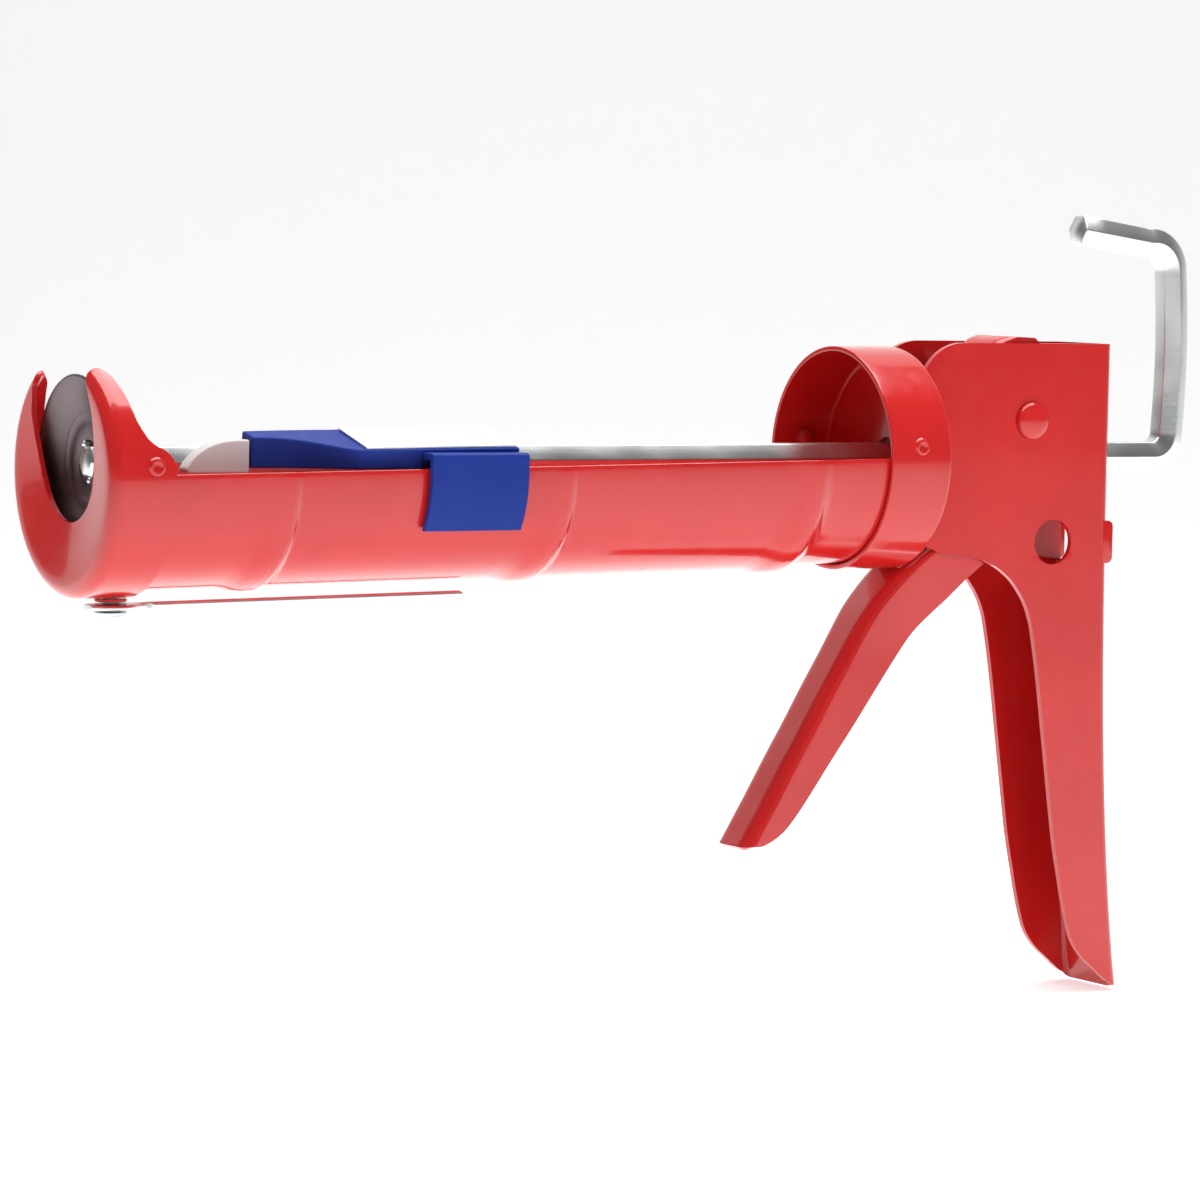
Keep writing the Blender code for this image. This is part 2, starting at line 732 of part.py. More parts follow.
def trigger_rows():
    """Fold point on the front web, edge point at the back, and half width, from the top down."""
    wide, narrow = TRIGGER_TOP_WIDTH / 2, TRIGGER_GRIP_WIDTH / 2
    spine = [
        ((46.2, 29.9), (53.4, 29.5), 0),
        ((43.0, 28.6), (57.0, 26.2), 0),
        ((41.0, 26.0), (58.8, 21.0), 0),
        ((40.0, 21.0), (59.6, 14.6), 0),
        ((41.2, 14.0), (59.8, 9.4), 0),
        ((42.0, 4.0), (58.5, 1.0), 0),
        ((41.3, -6.0), (55.5, -7.0), 0),
        ((37.0, -12.8), (51.0, -14.5), 0),
        ((29.6, -17.6), (46.0, -20.8), 0),
        ((22.2, -22.8), (40.6, -25.2), 0.1),
        ((16.6, -27.3), (34.5, -29.9), 0.3),
        ((12.3, -31.4), (29.6, -34.2), 0.5),
        ((8.1, -36.2), (25.0, -37.9), 0.7),
        ((4.9, -41.0), (20.6, -41.8), 0.9),
        ((1.1, -47.3), (16.8, -46.5), 1),
        ((-9.0, -64.1), (2.8, -66.0), 1),
        ((-19.6, -81.8), (-8.5, -81.3), 1),
        ((-23.2, -87.7), (-13.0, -87.4), 1),
        ((-25.4, -91.2), (-16.6, -90.8), 1),
        ((-26.6, -93.2), (-21.0, -92.6), 1),
    ]
    rows = []
    for fold, edge, share in spine:
        half = wide + (narrow - wide) * share
        rows.append(((fold[0] * MM, fold[1] * MM), (edge[0] * MM, edge[1] * MM), half))
    return rows


def build_trigger(pivot):
    mesh = channel_mesh("trigger", trigger_rows(), TRIGGER_BEND, flip=False)
    trigger = add_piece("trigger", mesh, RED, pivot)
    thicken(trigger, TRIGGER_SHEET)
    smooth(mesh)
    half = TRIGGER_TOP_WIDTH / 2 - TRIGGER_SHEET
    window = box_mesh("trigger_window", (34.0 * MM, -half, -11.5 * MM), (45.5 * MM, half, 11.5 * MM))
    cut(trigger, add_cutter("trigger_window", window, pivot))
    hole = drum_mesh("trigger_pivot_hole", PIVOT_SHANK + GAP, "Y", (PIVOT_X, PIVOT_Z), -20 * MM, 20 * MM, 24)
    cut(trigger, add_cutter("trigger_pivot_hole", hole, pivot))
    centre = (CUTTER_RIVET_X, CUTTER_RIVET_Z)
    rivet = drum_mesh("cutter_rivet_hole", CUTTER_RIVET + GAP, "Y", centre, -20 * MM, 0, 16)
    rivet_hole = add_cutter("cutter_rivet_hole", rivet, pivot)
    cut(trigger, rivet_hole)
    return trigger, rivet_hole


def build_cutter(pivot, rivet_hole):
    """The blade that shears a nozzle held in the handle's hole, riveted inside the near cheek."""
    outside = -(TRIGGER_TOP_WIDTH / 2 - TRIGGER_SHEET - GAP)
    outline = [
        (39.5 * MM, -14.4 * MM),
        (46.0 * MM, -12.6 * MM),
        (50.6 * MM, -13.4 * MM),
        (52.2 * MM, -18.5 * MM),
        (51.6 * MM, -25.2 * MM),
        (48.6 * MM, -26.6 * MM),
        (43.0 * MM, -22.6 * MM),
    ]
    inside = outside + CUTTER_THICKNESS
    blade = add_piece("cutter_blade", prism_mesh("cutter_blade", outline, "Y", outside, inside), ZINC, pivot)
    cut(blade, rivet_hole)
    head = inside + GAP
    cheek = -TRIGGER_TOP_WIDTH / 2
    shape = [
        (0.6 * CUTTER_RIVET_HEAD, head + 1.0 * MM),
        (CUTTER_RIVET_HEAD, head + 0.6 * MM),
        (CUTTER_RIVET_HEAD, head),
        (CUTTER_RIVET, head),
        (CUTTER_RIVET, cheek + 0.1 * MM),
    ]
    turned_solid("cutter_rivet", shape, ZINC, pivot, "Y", (CUTTER_RIVET_X, 0, CUTTER_RIVET_Z), 1, 16)


def build_pivot():
    """The riveted pivot pin with a domed head on each side, and the tube between the trigger's cheeks."""
    outside = HANDLE_WIDTH / 2 + GAP
    dome = [
        (0.5 * PIVOT_HEAD, outside + PIVOT_HEAD_HEIGHT),
        (0.8 * PIVOT_HEAD, outside + 0.8 * PIVOT_HEAD_HEIGHT),
        (0.96 * PIVOT_HEAD, outside + 0.45 * PIVOT_HEAD_HEIGHT),
        (PIVOT_HEAD, outside),
        (PIVOT_SHANK, outside),
    ]
    profile = dome + [(r, -h) for r, h in reversed(dome)]
    turned_solid("pivot_rivet", profile, RED, FRAME, "Y", (PIVOT_X, 0, PIVOT_Z), 1, 28)
    reach = TRIGGER_TOP_WIDTH / 2 - TRIGGER_SHEET - GAP
    tube = [
        (SPACER_RADIUS, reach),
        (SPACER_RADIUS, -reach),
        (PIVOT_SHANK + GAP, -reach),
        (PIVOT_SHANK + GAP, reach),
    ]
    turned_piece("pivot_spacer", tube, ZINC, FRAME, "Y", (PIVOT_X, 0, PIVOT_Z), 24)


# ---------------------------------------------------------------- drive


def build_drive(dog_carrier):
    """The dog plate that grips the rod, and the spring that returns it and the trigger."""
    low, high = DOG_BACK_X - DOG_THICKNESS, DOG_BACK_X
    half = DOG_WIDTH / 2
    outline = [
        (-half + 1.5 * MM, DOG_BOTTOM_Z),
        (half - 1.5 * MM, DOG_BOTTOM_Z),
        (half, DOG_BOTTOM_Z + 1.5 * MM),
        (half, DOG_TOP_Z - 4 * MM),
        (half - 4 * MM, DOG_TOP_Z),
        (-half + 4 * MM, DOG_TOP_Z),
        (-half, DOG_TOP_Z - 4 * MM),
        (-half, DOG_BOTTOM_Z + 1.5 * MM),
    ]
    dog = add_piece("drive_dog", prism_mesh("drive_dog", outline, "X", low, high), DARK, dog_carrier)
    hole = drum_mesh("dog_hole", ROD_HOLE, "X", (0, 0), low - MM, high + MM, 24)
    cut(dog, add_cutter("dog_hole", hole, dog_carrier))
    start = CUP_LENGTH + GAP + SPRING_WIRE / 2
    end = low - GAP - SPRING_WIRE / 2
    per_turn = 14
    count = int(per_turn * SPRING_TURNS)
    points = []
    for i in range(count + 1):
        angle = 2 * math.pi * SPRING_TURNS * i / count
        share = i / count
        closed = 0.75 / SPRING_TURNS  # the end turns lie flat
        along = min(max((share - closed) / (1 - 2 * closed), 0), 1)
        x = start + (end - start) * (0.12 * share + 0.88 * along)
        points.append((x, SPRING_RADIUS * math.sin(angle), SPRING_RADIUS * math.cos(angle)))
    wire_piece("drive_spring", points, SPRING_WIRE / 2, DARK, dog_carrier)


# ---------------------------------------------------------------- seal punch


def build_punch(swivel, punch_hole):
    outside = CRADLE_RADIUS + GAP + NOSE_WALL
    boss_top = -outside - GAP
    boss_bottom = boss_top - PUNCH_BOSS_HEIGHT
    boss = [
        (PUNCH_BOSS_RADIUS, boss_top),
        (PUNCH_BOSS_RADIUS, boss_bottom),
        (PUNCH_RIVET + GAP, boss_bottom),
        (PUNCH_RIVET + GAP, boss_top),
    ]
    turned_piece("punch_boss", boss, RED, BARREL, "Z", (PUNCH_X, 0, 0), 24)
    wire = PUNCH_WIRE / 2
    level = boss_bottom - GAP - wire
    eye = drum_mesh("seal_punch_eye", PUNCH_EYE_RADIUS, "Z", (0, 0), level - wire, level + wire, 32)
    points = [(PUNCH_EYE_RADIUS - 2.0 * MM, 0, level), (PUNCH_EYE_RADIUS + 3 * MM, 0, level)]
    points += [(PUNCH_LENGTH - 1.2 * MM, 0, level), (PUNCH_LENGTH, 0, level)]
    stem = wire_piece("seal_punch", points, wire, ZINC, swivel, sides=3)
    stem.data.splines[0].points[-1].radius = 0.45
    stem = as_mesh(stem)
    join(stem, add_cutter("seal_punch_eye", eye, swivel))
    hole = drum_mesh("seal_punch_hole", PUNCH_RIVET + GAP, "Z", (0, 0), level - 2 * MM, level + 2 * MM, 20)
    cut(stem, add_cutter("seal_punch_hole", hole, swivel))
    head = level - wire - GAP
    shape = [
        (PUNCH_RIVET, -CRADLE_RADIUS + CRADLE_WALL + 0.2 * MM),
        (PUNCH_RIVET, head),
        (PUNCH_HEAD, head),
        (PUNCH_HEAD, head - 0.6 * PUNCH_HEAD_HEIGHT),
        (0.75 * PUNCH_HEAD, head - PUNCH_HEAD_HEIGHT),
    ]
    turned_solid("punch_rivet", shape, ZINC, BARREL, "Z", (PUNCH_X, 0, 0), 1, 24)


# ---------------------------------------------------------------- clip-on smoothing tool


def tool_sections(inset):
    """Four corners of the tool's body at stations along X: near top, far top, far bottom, near bottom."""
    rear, shoulder, front = TOOL_REAR_X, TOOL_SHOULDER_X, TOOL_FRONT_X
    middle = shoulder - 13.0 * MM
    table = [
        (rear, (-24.0, 3.9), (-8.0, 8.4), (-7.2, TOOL_FOOT_Z / MM), (-22.6, TOOL_FOOT_Z / MM)),
        (shoulder, (-24.0, 3.4), (-8.0, 7.6), (-7.2, TOOL_FOOT_Z / MM), (-22.6, TOOL_FOOT_Z / MM)),
        (middle, (-15.6, 5.6), (-8.0, 7.5), (-7.2, TOOL_FOOT_Z / MM), (-17.2, TOOL_FOOT_Z / MM)),
        (front, (-14.2, 6.0), (-8.4, 7.3), (-7.6, TOOL_FOOT_Z / MM), (-15.6, TOOL_FOOT_Z / MM)),
    ]
    wall = TOOL_WALL if inset else 0
    rows = []
    for i, (x, near, far, far_low, near_low) in enumerate(table):
        drop = -6 * MM if inset else 0
        shift = 0
        if inset:
            shift = {0: -wall, len(table) - 1: wall}.get(i, 0)
        rows.append(
            [
                (x + shift, near[0] * MM + wall, near[1] * MM - wall),
                (x + shift, far[0] * MM - wall, far[1] * MM - wall),
                (x + shift, far_low[0] * MM - wall, far_low[1] * MM + drop),
                (x + shift, near_low[0] * MM + wall, near_low[1] * MM + drop),
            ]
        )
    return rows


def build_tool(lift):
    mesh = grid_mesh("smoother_body", tool_sections(inset=False), closed_rows=True, capped=True)
    body = add_piece("smoother_body", mesh, BLUE, lift)
    hollow = grid_mesh("smoother_hollow", tool_sections(inset=True), closed_rows=True, capped=True)
    clip = clip_outline()
    clip_mesh = prism_mesh("smoother_clip", clip, "X", TOOL_REAR_X - CLIP_LENGTH, TOOL_REAR_X)
    join(body, add_cutter("smoother_clip", clip_mesh, lift))
    cut(body, add_cutter("smoother_hollow", hollow, lift))
    slope = math.atan2(4.5, 16.0)
    length = LABEL_LENGTH
    base = Vector((0, -24.0 * MM, 3.9 * MM))
    along = Vector((0, math.cos(slope), math.sin(slope)))
    up = Vector((0, -math.sin(slope), math.cos(slope)))
    rows = []
    fall = 0.5 * MM  # the top face drops this much along the label
    for x, drop in ((TOOL_REAR_X - 0.6 * MM, 0), (TOOL_REAR_X - 0.6 * MM - length, fall)):
        low = base + along * 0.8 * MM + up * (GAP + 0.05 * MM)
        far = base + along * 15.4 * MM + up * (GAP + 0.05 * MM)
        corners = [low, far, far + up * LABEL_THICKNESS, low + up * LABEL_THICKNESS]
        rows.append([(x, c.y, c.z - drop) for c in corners])
    label = grid_mesh("smoother_label", rows, closed_rows=True, capped=True)
    add_piece("smoother_label", label, LABEL, lift)
    build_blade(lift)


def clip_outline():
    """(y, z) of the hook over the cradle's rim and the skirt that hangs down its drooping outside."""
    top = CRADLE_RIM_Z + GAP
    bottom = CRADLE_RIM_Z - CLIP_DROP
    droop = (CLIP_LENGTH - TOOL_REAR_X) * math.sin(BARREL_DROOP)
    wall = CLIP_WALL
    skirt = []
    for share in (0.1, 0.4, 0.7, 1.0):
        z = top + (bottom - top) * share
        skirt.append((-math.sqrt(CRADLE_RADIUS**2 - (z + droop) ** 2) - CLIP_CLEARANCE, z))
    outside = [(y - wall, z) for y, z in skirt]
    inner_top = -(CRADLE_RADIUS + CLIP_CLEARANCE)
    hook = [
        (-23.2 * MM, top),
        (-23.2 * MM, top + wall),
        (inner_top - 0.6 * wall, top + wall),
        (inner_top - wall, top + 0.5 * wall),
    ]
    return hook + outside + skirt[::-1] + [(inner_top + 0.2 * MM, top)]


def build_blade(lift):
    """The soft tongue that smooths the bead, plugged into the tool's front end."""
    front = TOOL_FRONT_X - GAP
    tip = front - BLADE_LENGTH
    outline = [
        (front, 5.6 * MM),
        (front - 4.5 * MM, 5.5 * MM),
        (front - 8.0 * MM, 4.9 * MM),
        (front - 11.0 * MM, 3.7 * MM),
        (front - 13.5 * MM, 1.6 * MM),
        (tip, -0.8 * MM),
        (tip + 0.8 * MM, BLADE_FOOT_Z),
        (front, BLADE_FOOT_Z),
    ]
    middle = -11.6 * MM
    half = BLADE_THICKNESS / 2
    mesh = prism_mesh("smoother_blade", outline, "Y", middle - half, middle + half)
    blade = add_piece("smoother_blade", mesh, WHITE, lift)
    soften(blade, 1.6 * MM, 3, 60)


# ---------------------------------------------------------------- assembly


def centre_gun():
    """Moves the whole gun so that the middle of its box is the origin."""
    bpy.context.view_layer.update()
    graph = bpy.context.evaluated_depsgraph_get()
    lows, highs = [math.inf] * 3, [-math.inf] * 3
    for obj in GUN.objects:
        if obj.type == "EMPTY":
            continue
        shown = obj.evaluated_get(graph)
        for vert in shown.to_mesh().vertices:
            place = shown.matrix_world @ vert.co
            lows = [min(low, value) for low, value in zip(lows, place)]
            highs = [max(high, value) for high, value in zip(highs, place)]
        shown.to_mesh_clear()
    FRAME.location = [-(low + high) / 2 for low, high in zip(lows, highs)]
    print("gun_frame at", [round(v * 1000, 3) for v in FRAME.location])


def on_axis(place):
    """An empty on a joint's axis, with the pieces drawn in the gun's own frame."""
    empty = add_empty("axis", place, FRAME)
    carrier = add_empty("carrier", [-v for v in place], empty)
    return empty, carrier


cradle = build_cradle()
build_rear_cup()
nose_cap, punch_cutter = build_nose_cap()
cut(cradle, punch_cutter)
nose_radius = CRADLE_RADIUS + GAP + NOSE_WALL
for end_side, end in ((-1, "near"), (1, "far")):
    build_stake(f"nose_rivet_{end}", end_side, NOSE_RIVET_X, NOSE_RIVET_Z, nose_radius, NOSE_WALL, BARREL)
    build_stake(f"cup_rivet_{end}", end_side, CUP_DIMPLE_X, CUP_DIMPLE_Z, CUP_RADIUS, CUP_WALL, FRAME)
_, rod_carrier = on_axis((0, 0, 0))
build_rod(rod_carrier)
build_piston(rod_carrier)
build_handle()
_, trigger_carrier = on_axis((PIVOT_X, 0, PIVOT_Z))
_, cutter_hole = build_trigger(trigger_carrier)
build_cutter(trigger_carrier, cutter_hole)
build_pivot()
_, dog_carrier = on_axis((DOG_BACK_X, 0, 0))
build_drive(dog_carrier)
swivel = add_empty("punch_axis", (PUNCH_X, 0, 0), BARREL)
build_punch(swivel, punch_cutter)
_, tool_carrier = on_axis((TOOL_REAR_X, -CRADLE_RADIUS, CRADLE_RIM_Z))
build_tool(tool_carrier)
centre_gun()
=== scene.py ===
"""The caulking gun's looks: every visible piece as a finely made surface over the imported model, with
enamel, zinc, plastic and rubber, on a pale floor in soft studio light.

Pieces are drawn in millimetres about the push rod: X along the rod towards its hook with 0 at the
cup's mouth, Y across, with the smoothing tool's side negative, and Z up.
"""

import math

import bmesh
import bpy
import numpy as np
from mathutils import Matrix, Vector


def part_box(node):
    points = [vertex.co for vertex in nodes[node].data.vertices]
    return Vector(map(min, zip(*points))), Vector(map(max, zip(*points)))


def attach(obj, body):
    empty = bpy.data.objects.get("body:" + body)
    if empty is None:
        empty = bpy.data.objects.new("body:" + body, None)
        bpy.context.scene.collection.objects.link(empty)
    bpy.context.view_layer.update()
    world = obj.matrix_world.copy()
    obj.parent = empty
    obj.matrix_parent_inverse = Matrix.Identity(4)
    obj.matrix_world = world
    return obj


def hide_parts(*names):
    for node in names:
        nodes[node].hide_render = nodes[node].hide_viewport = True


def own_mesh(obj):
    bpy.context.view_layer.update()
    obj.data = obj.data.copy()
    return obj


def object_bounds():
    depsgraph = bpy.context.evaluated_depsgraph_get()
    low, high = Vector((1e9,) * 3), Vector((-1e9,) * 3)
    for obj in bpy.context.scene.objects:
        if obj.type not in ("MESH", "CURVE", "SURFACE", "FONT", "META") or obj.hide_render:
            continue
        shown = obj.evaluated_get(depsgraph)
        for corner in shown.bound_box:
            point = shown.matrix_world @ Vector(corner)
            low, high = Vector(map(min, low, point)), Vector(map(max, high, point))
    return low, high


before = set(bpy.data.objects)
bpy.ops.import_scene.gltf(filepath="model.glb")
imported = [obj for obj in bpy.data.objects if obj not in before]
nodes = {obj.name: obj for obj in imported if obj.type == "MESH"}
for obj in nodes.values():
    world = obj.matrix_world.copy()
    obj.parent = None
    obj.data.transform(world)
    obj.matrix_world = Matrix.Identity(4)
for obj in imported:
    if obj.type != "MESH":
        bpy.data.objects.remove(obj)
cad_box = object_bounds()

MM = 0.001
cup_low, cup_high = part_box("rear_cup")
ORIGIN = Vector((cup_low.x, (cup_low.y + cup_high.y) / 2, (cup_low.z + cup_high.z) / 2))
DROOP = math.radians(0.8)  # how far the tube and nose hang below the rod's line

TUBE_RADIUS = 26.2
TUBE_WALL = 1.0
RIB_ENDS = (-158.5, -87.8, -18.8)
NOSE_OUTER = 27.6
NOSE_WALL = 1.3
CREST_RADIUS = 24.4
CREST_X = -203.65
CORNER = 3.2  # radius of the nose's rounded flank
SLOT_RADIUS = 13.4
SLOT_RISE = 2.8  # the slot's centre above the rod
CUP_OUTER = 27.0
ROD_FLATS = 7.2
PISTON_FACE = -197.0
PISTON_SHEET = 1.2
HANDLE_SHEET = 1.5
HANDLE_HALF = 10.8  # half the handle's width
PIVOT = (51.5, 0, 9.4)
PIVOT_HOLE = 3.3
PUNCH_X = -191.5
PUNCH_LEVEL = -29.6


# ---------------------------------------------------------------- materials


class Nodes:
    """A node material with its Principled shader and object coordinates in metres."""

    def __init__(self, name):
        self.material = bpy.data.materials.new(name)
        self.material.use_nodes = True
        self.tree = self.material.node_tree
        self.shader = self.tree.nodes["Principled BSDF"]
        self.place = self.tree.nodes.new("ShaderNodeTexCoord").outputs["Object"]

    def link(self, start, end):
        self.tree.links.new(start, end)

    def stretched(self, scale):
        mapping = self.tree.nodes.new("ShaderNodeMapping")
        mapping.inputs["Scale"].default_value = scale
        self.link(self.place, mapping.inputs["Vector"])
        return mapping.outputs["Vector"]

    def noise(self, scale, detail=2.0, roughness=0.5, place=None):
        noise = self.tree.nodes.new("ShaderNodeTexNoise")
        noise.inputs["Scale"].default_value = scale
        noise.inputs["Detail"].default_value = detail
        noise.inputs["Roughness"].default_value = roughness
        self.link(place or self.place, noise.inputs["Vector"])
        return noise.outputs["Fac"]

    def ramp(self, factor, stops):
        ramp = self.tree.nodes.new("ShaderNodeValToRGB")
        points = ramp.color_ramp.elements
        points[0].position, points[0].color = stops[0][0], (*stops[0][1], 1)
        points[1].position, points[1].color = stops[-1][0], (*stops[-1][1], 1)
        for position, colour in stops[1:-1]:
            points.new(position).color = (*colour, 1)
        self.link(factor, ramp.inputs["Fac"])
        return ramp.outputs["Color"]

    def spread(self, factor, low, high):
        spread = self.tree.nodes.new("ShaderNodeMapRange")
        spread.inputs["From Min"].default_value = 0.3
        spread.inputs["From Max"].default_value = 0.7
        spread.inputs["To Min"].default_value = low
        spread.inputs["To Max"].default_value = high
        self.link(factor, spread.inputs["Value"])
        return spread.outputs["Result"]

    def bump(self, height, distance, strength=1.0, after=None):
        bump = self.tree.nodes.new("ShaderNodeBump")
        bump.inputs["Strength"].default_value = strength
        bump.inputs["Distance"].default_value = distance
        self.link(height, bump.inputs["Height"])
        if after:
            self.link(after, bump.inputs["Normal"])
        self.link(bump.outputs["Normal"], self.shader.inputs["Normal"])
        return bump.outputs["Normal"]

    def set(self, **values):
        for key, value in values.items():
            self.shader.inputs[key.replace("_", " ")].default_value = value


def enamel(name, deep, bright):
    """Sprayed gloss enamel: slow waves in the film, fine orange peel, faint colour drift and dust."""
    made = Nodes(name)
    drift = made.noise(28.0, 3.0)
    made.link(made.ramp(drift, [(0.32, deep), (0.68, bright)]), made.shader.inputs["Base Color"])
    made.link(made.spread(made.noise(240.0, 3.0, 0.6), 0.13, 0.24), made.shader.inputs["Roughness"])
    waves = made.bump(made.noise(95.0, 1.0), 0.0002, 0.10)
    made.bump(made.noise(700.0, 2.0), 0.00006, 0.16, waves)
    made.set(IOR=1.5, Coat_Weight=0.5, Coat_Roughness=0.045, Coat_IOR=1.5)
    return made.material


def plated(name, dull, bright, low, high, along=(30.0, 900.0, 900.0)):
    """Zinc over drawn steel: fine lines along the draw, cloudy brightness and small pits."""
    made = Nodes(name)
    lines = made.noise(1.0, 3.0, 0.6, made.stretched(along))
    cloud = made.noise(70.0, 4.0, 0.55)
    made.link(made.ramp(cloud, [(0.3, dull), (0.7, bright)]), made.shader.inputs["Base Color"])
    made.link(made.spread(cloud, low, high), made.shader.inputs["Roughness"])
    drawn = made.bump(lines, 0.00006, 0.35)
    made.bump(made.noise(420.0, 4.0, 0.6), 0.00008, 0.2, drawn)
    made.set(Metallic=1.0)
    return made.material


def moulded(name, deep, bright, low, high, grain=900.0, height=0.00004, **values):
    """Moulded plastic or rubber: a fine spark-eroded grain and faint flow shading."""
    made = Nodes(name)
    shading = made.ramp(made.noise(40.0, 3.0), [(0.3, deep), (0.7, bright)])
    made.link(shading, made.shader.inputs["Base Color"])
    made.link(made.spread(made.noise(300.0, 3.0), low, high), made.shader.inputs["Roughness"])
    made.bump(made.noise(grain, 3.0, 0.6), height, 0.35)
    made.set(**values)
    return made.material


RED = enamel("red_enamel", (0.57, 0.013, 0.013), (0.65, 0.019, 0.018))
ZINC = plated("bright_zinc", (0.74, 0.77, 0.77), (0.88, 0.90, 0.89), 0.26, 0.40)
ZINC_CROSS = plated("zinc_sheet", (0.58, 0.62, 0.62), (0.76, 0.80, 0.79), 0.2, 0.4, (500.0, 500.0, 500.0))
# Dark grey plating; its pink tint is a painted reflection of the red enamel round the piston.
DARK_WITH_RED_REFLECTION = plated("dark_plate_red_reflection", (0.13, 0.105, 0.112), (0.24, 0.20, 0.21), 0.30, 0.46, (700.0, 700.0, 700.0))
SPRING = plated("spring_steel", (0.28, 0.27, 0.26), (0.42, 0.41, 0.40), 0.28, 0.42, (400.0, 400.0, 400.0))
BLUE = moulded(
    "blue_plastic", (0.013, 0.036, 0.25), (0.018, 0.044, 0.29), 0.40, 0.50, Specular_IOR_Level=0.12,
)
# Off-white silicone; its pink tint is a painted reflection of the red cradle beside it.
WHITE_WITH_RED_REFLECTION = moulded(
    "white_silicone", (0.60, 0.565, 0.56), (0.68, 0.64, 0.635), 0.42, 0.56, 500.0, 0.00006,
    Subsurface_Weight=0.25, Subsurface_Scale=0.002,
)
PAPER = moulded("label_film", (0.84, 0.85, 0.87), (0.88, 0.89, 0.90), 0.24, 0.32, 1200.0, 0.00002)


# ---------------------------------------------------------------- shape helpers


def new_piece(name, mesh, material, body, stands_for=(), droops=False):
    """Adds a piece that rides a body, fills a slot and may replace nodes of the model."""
    obj = bpy.data.objects.new(name, mesh)
    bpy.context.scene.collection.objects.link(obj)
    mesh.materials.append(material)
    if droops:
        mesh.transform(Matrix.Rotation(-DROOP, 4, "Y"))
    obj.location = ORIGIN
    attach(obj, body)
    if stands_for:
        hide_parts(*stands_for)
    return obj


def grid(name, rows, closed_rows=False, caps=False, flip=False):
    """A smooth-shaded surface through rows of points in millimetres."""
    mesh = bpy.data.meshes.new(name)
    form = bmesh.new()
    lines = [[form.verts.new(Vector(point) * MM) for point in row] for row in rows]
    count = len(lines[0])
    for here, there in zip(lines, lines[1:]):
        for i in range(count if closed_rows else count - 1):
            j = (i + 1) % count
            form.faces.new((here[i], here[j], there[j], there[i]))
    if caps:
        form.faces.new(reversed(lines[0]))
        form.faces.new(lines[-1])
        bmesh.ops.recalc_face_normals(form, faces=form.faces)
    elif flip:
        bmesh.ops.reverse_faces(form, faces=form.faces)
    for face in form.faces:
        face.smooth = True
    form.to_mesh(mesh)
    form.free()
    return mesh


def turned(name, profile, axis, place, steps=64, closed=False, side=1):
    """A profile of (radius, distance along the axis) turned about X, Y or Z through place.

    A closed profile is a ring. An open one starts and ends on the axis and makes a solid.
    """
    put = {
        "X": lambda r, h, a: (place[0] + h, place[1] + r * math.cos(a), place[2] + r * math.sin(a)),
        "Y": lambda r, h, a: (place[0] + r * math.cos(a), place[1] + side * h, place[2] + r * math.sin(a)),
        "Z": lambda r, h, a: (place[0] + r * math.cos(a), place[1] + r * math.sin(a), place[2] + h),
    }[axis]
    mesh = bpy.data.meshes.new(name)
    form = bmesh.new()
    turns = [2 * math.pi * i / steps for i in range(steps)]
    rings = []
    for r, h in profile:
        if r < 1e-6:
            rings.append([form.verts.new(Vector(put(0, h, 0)) * MM)])
        else:
            rings.append([form.verts.new(Vector(put(r, h, a)) * MM) for a in turns])
    pairs = list(zip(rings, rings[1:]))
    if closed:
        pairs.append((rings[-1], rings[0]))
    for here, there in pairs:
        for i in range(steps):
            j = (i + 1) % steps
            corners = [here[i % len(here)], here[j % len(here)], there[j % len(there)], there[i % len(there)]]
            unique = list(dict.fromkeys(corners))
            if len(unique) > 2:
                form.faces.new(unique)
    bmesh.ops.recalc_face_normals(form, faces=form.faces)
    for face in form.faces:
        face.smooth = True
    form.to_mesh(mesh)
    form.free()
    return mesh


def prism(name, outline, axis, low, high):
    """An outline extruded along an axis: (x, z) for Y, (y, z) for X and (x, y) for Z."""
    place = {
        "X": lambda a, b, t: (t, a, b),
        "Y": lambda a, b, t: (a, t, b),
        "Z": lambda a, b, t: (a, b, t),
    }[axis]
    rows = [[place(a, b, t) for a, b in outline] for t in (low, high)]
    return grid(name, rows, closed_rows=True, caps=True)


def arc(centre, radius, start, end, count):
    """Points round a circle from one angle in degrees to another."""
    angles = [math.radians(start + (end - start) * i / count) for i in range(count + 1)]
    return [(centre[0] + radius * math.cos(a), centre[1] + radius * math.sin(a)) for a in angles]


def spline(points, steps):
    """A Catmull-Rom curve through the points, with this many steps between two of them."""
    known = np.array(points, float)
    padded = np.vstack([2 * known[0] - known[1], known, 2 * known[-1] - known[-2]])
    out = []
    for i in range(1, len(padded) - 2):
        a, b, c, d = padded[i - 1 : i + 3]
        for k in range(steps):
            t = k / steps
            square, cube = 2 * a - 5 * b + 4 * c - d, 3 * b - a - 3 * c + d
            out.append(0.5 * (2 * b + (c - a) * t + square * t * t + cube * t**3))
    out.append(padded[-2])
    return [tuple(p) for p in out]


def solidify(obj, thickness):
    sheet = obj.modifiers.new("sheet", "SOLIDIFY")
    sheet.thickness = thickness * MM
    sheet.offset = -1.0
    sheet.use_even_offset = True


def round_edges(obj, width, segments=3, degrees=42):
    bevel = obj.modifiers.new("edges", "BEVEL")
    bevel.width = width * MM
    bevel.segments = segments
    bevel.limit_method = "ANGLE"
    bevel.angle_limit = math.radians(degrees)
    bevel.harden_normals = False


def cut_out(obj, meshes, droops=False):
    """Cuts closed meshes out of a piece."""
    cutters = []
    for i, mesh in enumerate(meshes):
        if droops:
            mesh.transform(Matrix.Rotation(-DROOP, 4, "Y"))
        cutter = bpy.data.objects.new(f"{obj.name}_cutter_{i}", mesh)
        bpy.context.scene.collection.objects.link(cutter)
        cutter.location = ORIGIN
        modifier = obj.modifiers.new(f"cut_{i}", "BOOLEAN")
        modifier.operation = "DIFFERENCE"
        modifier.solver = "EXACT"
        modifier.object = cutter
        cutters.append(cutter)
    return cutters


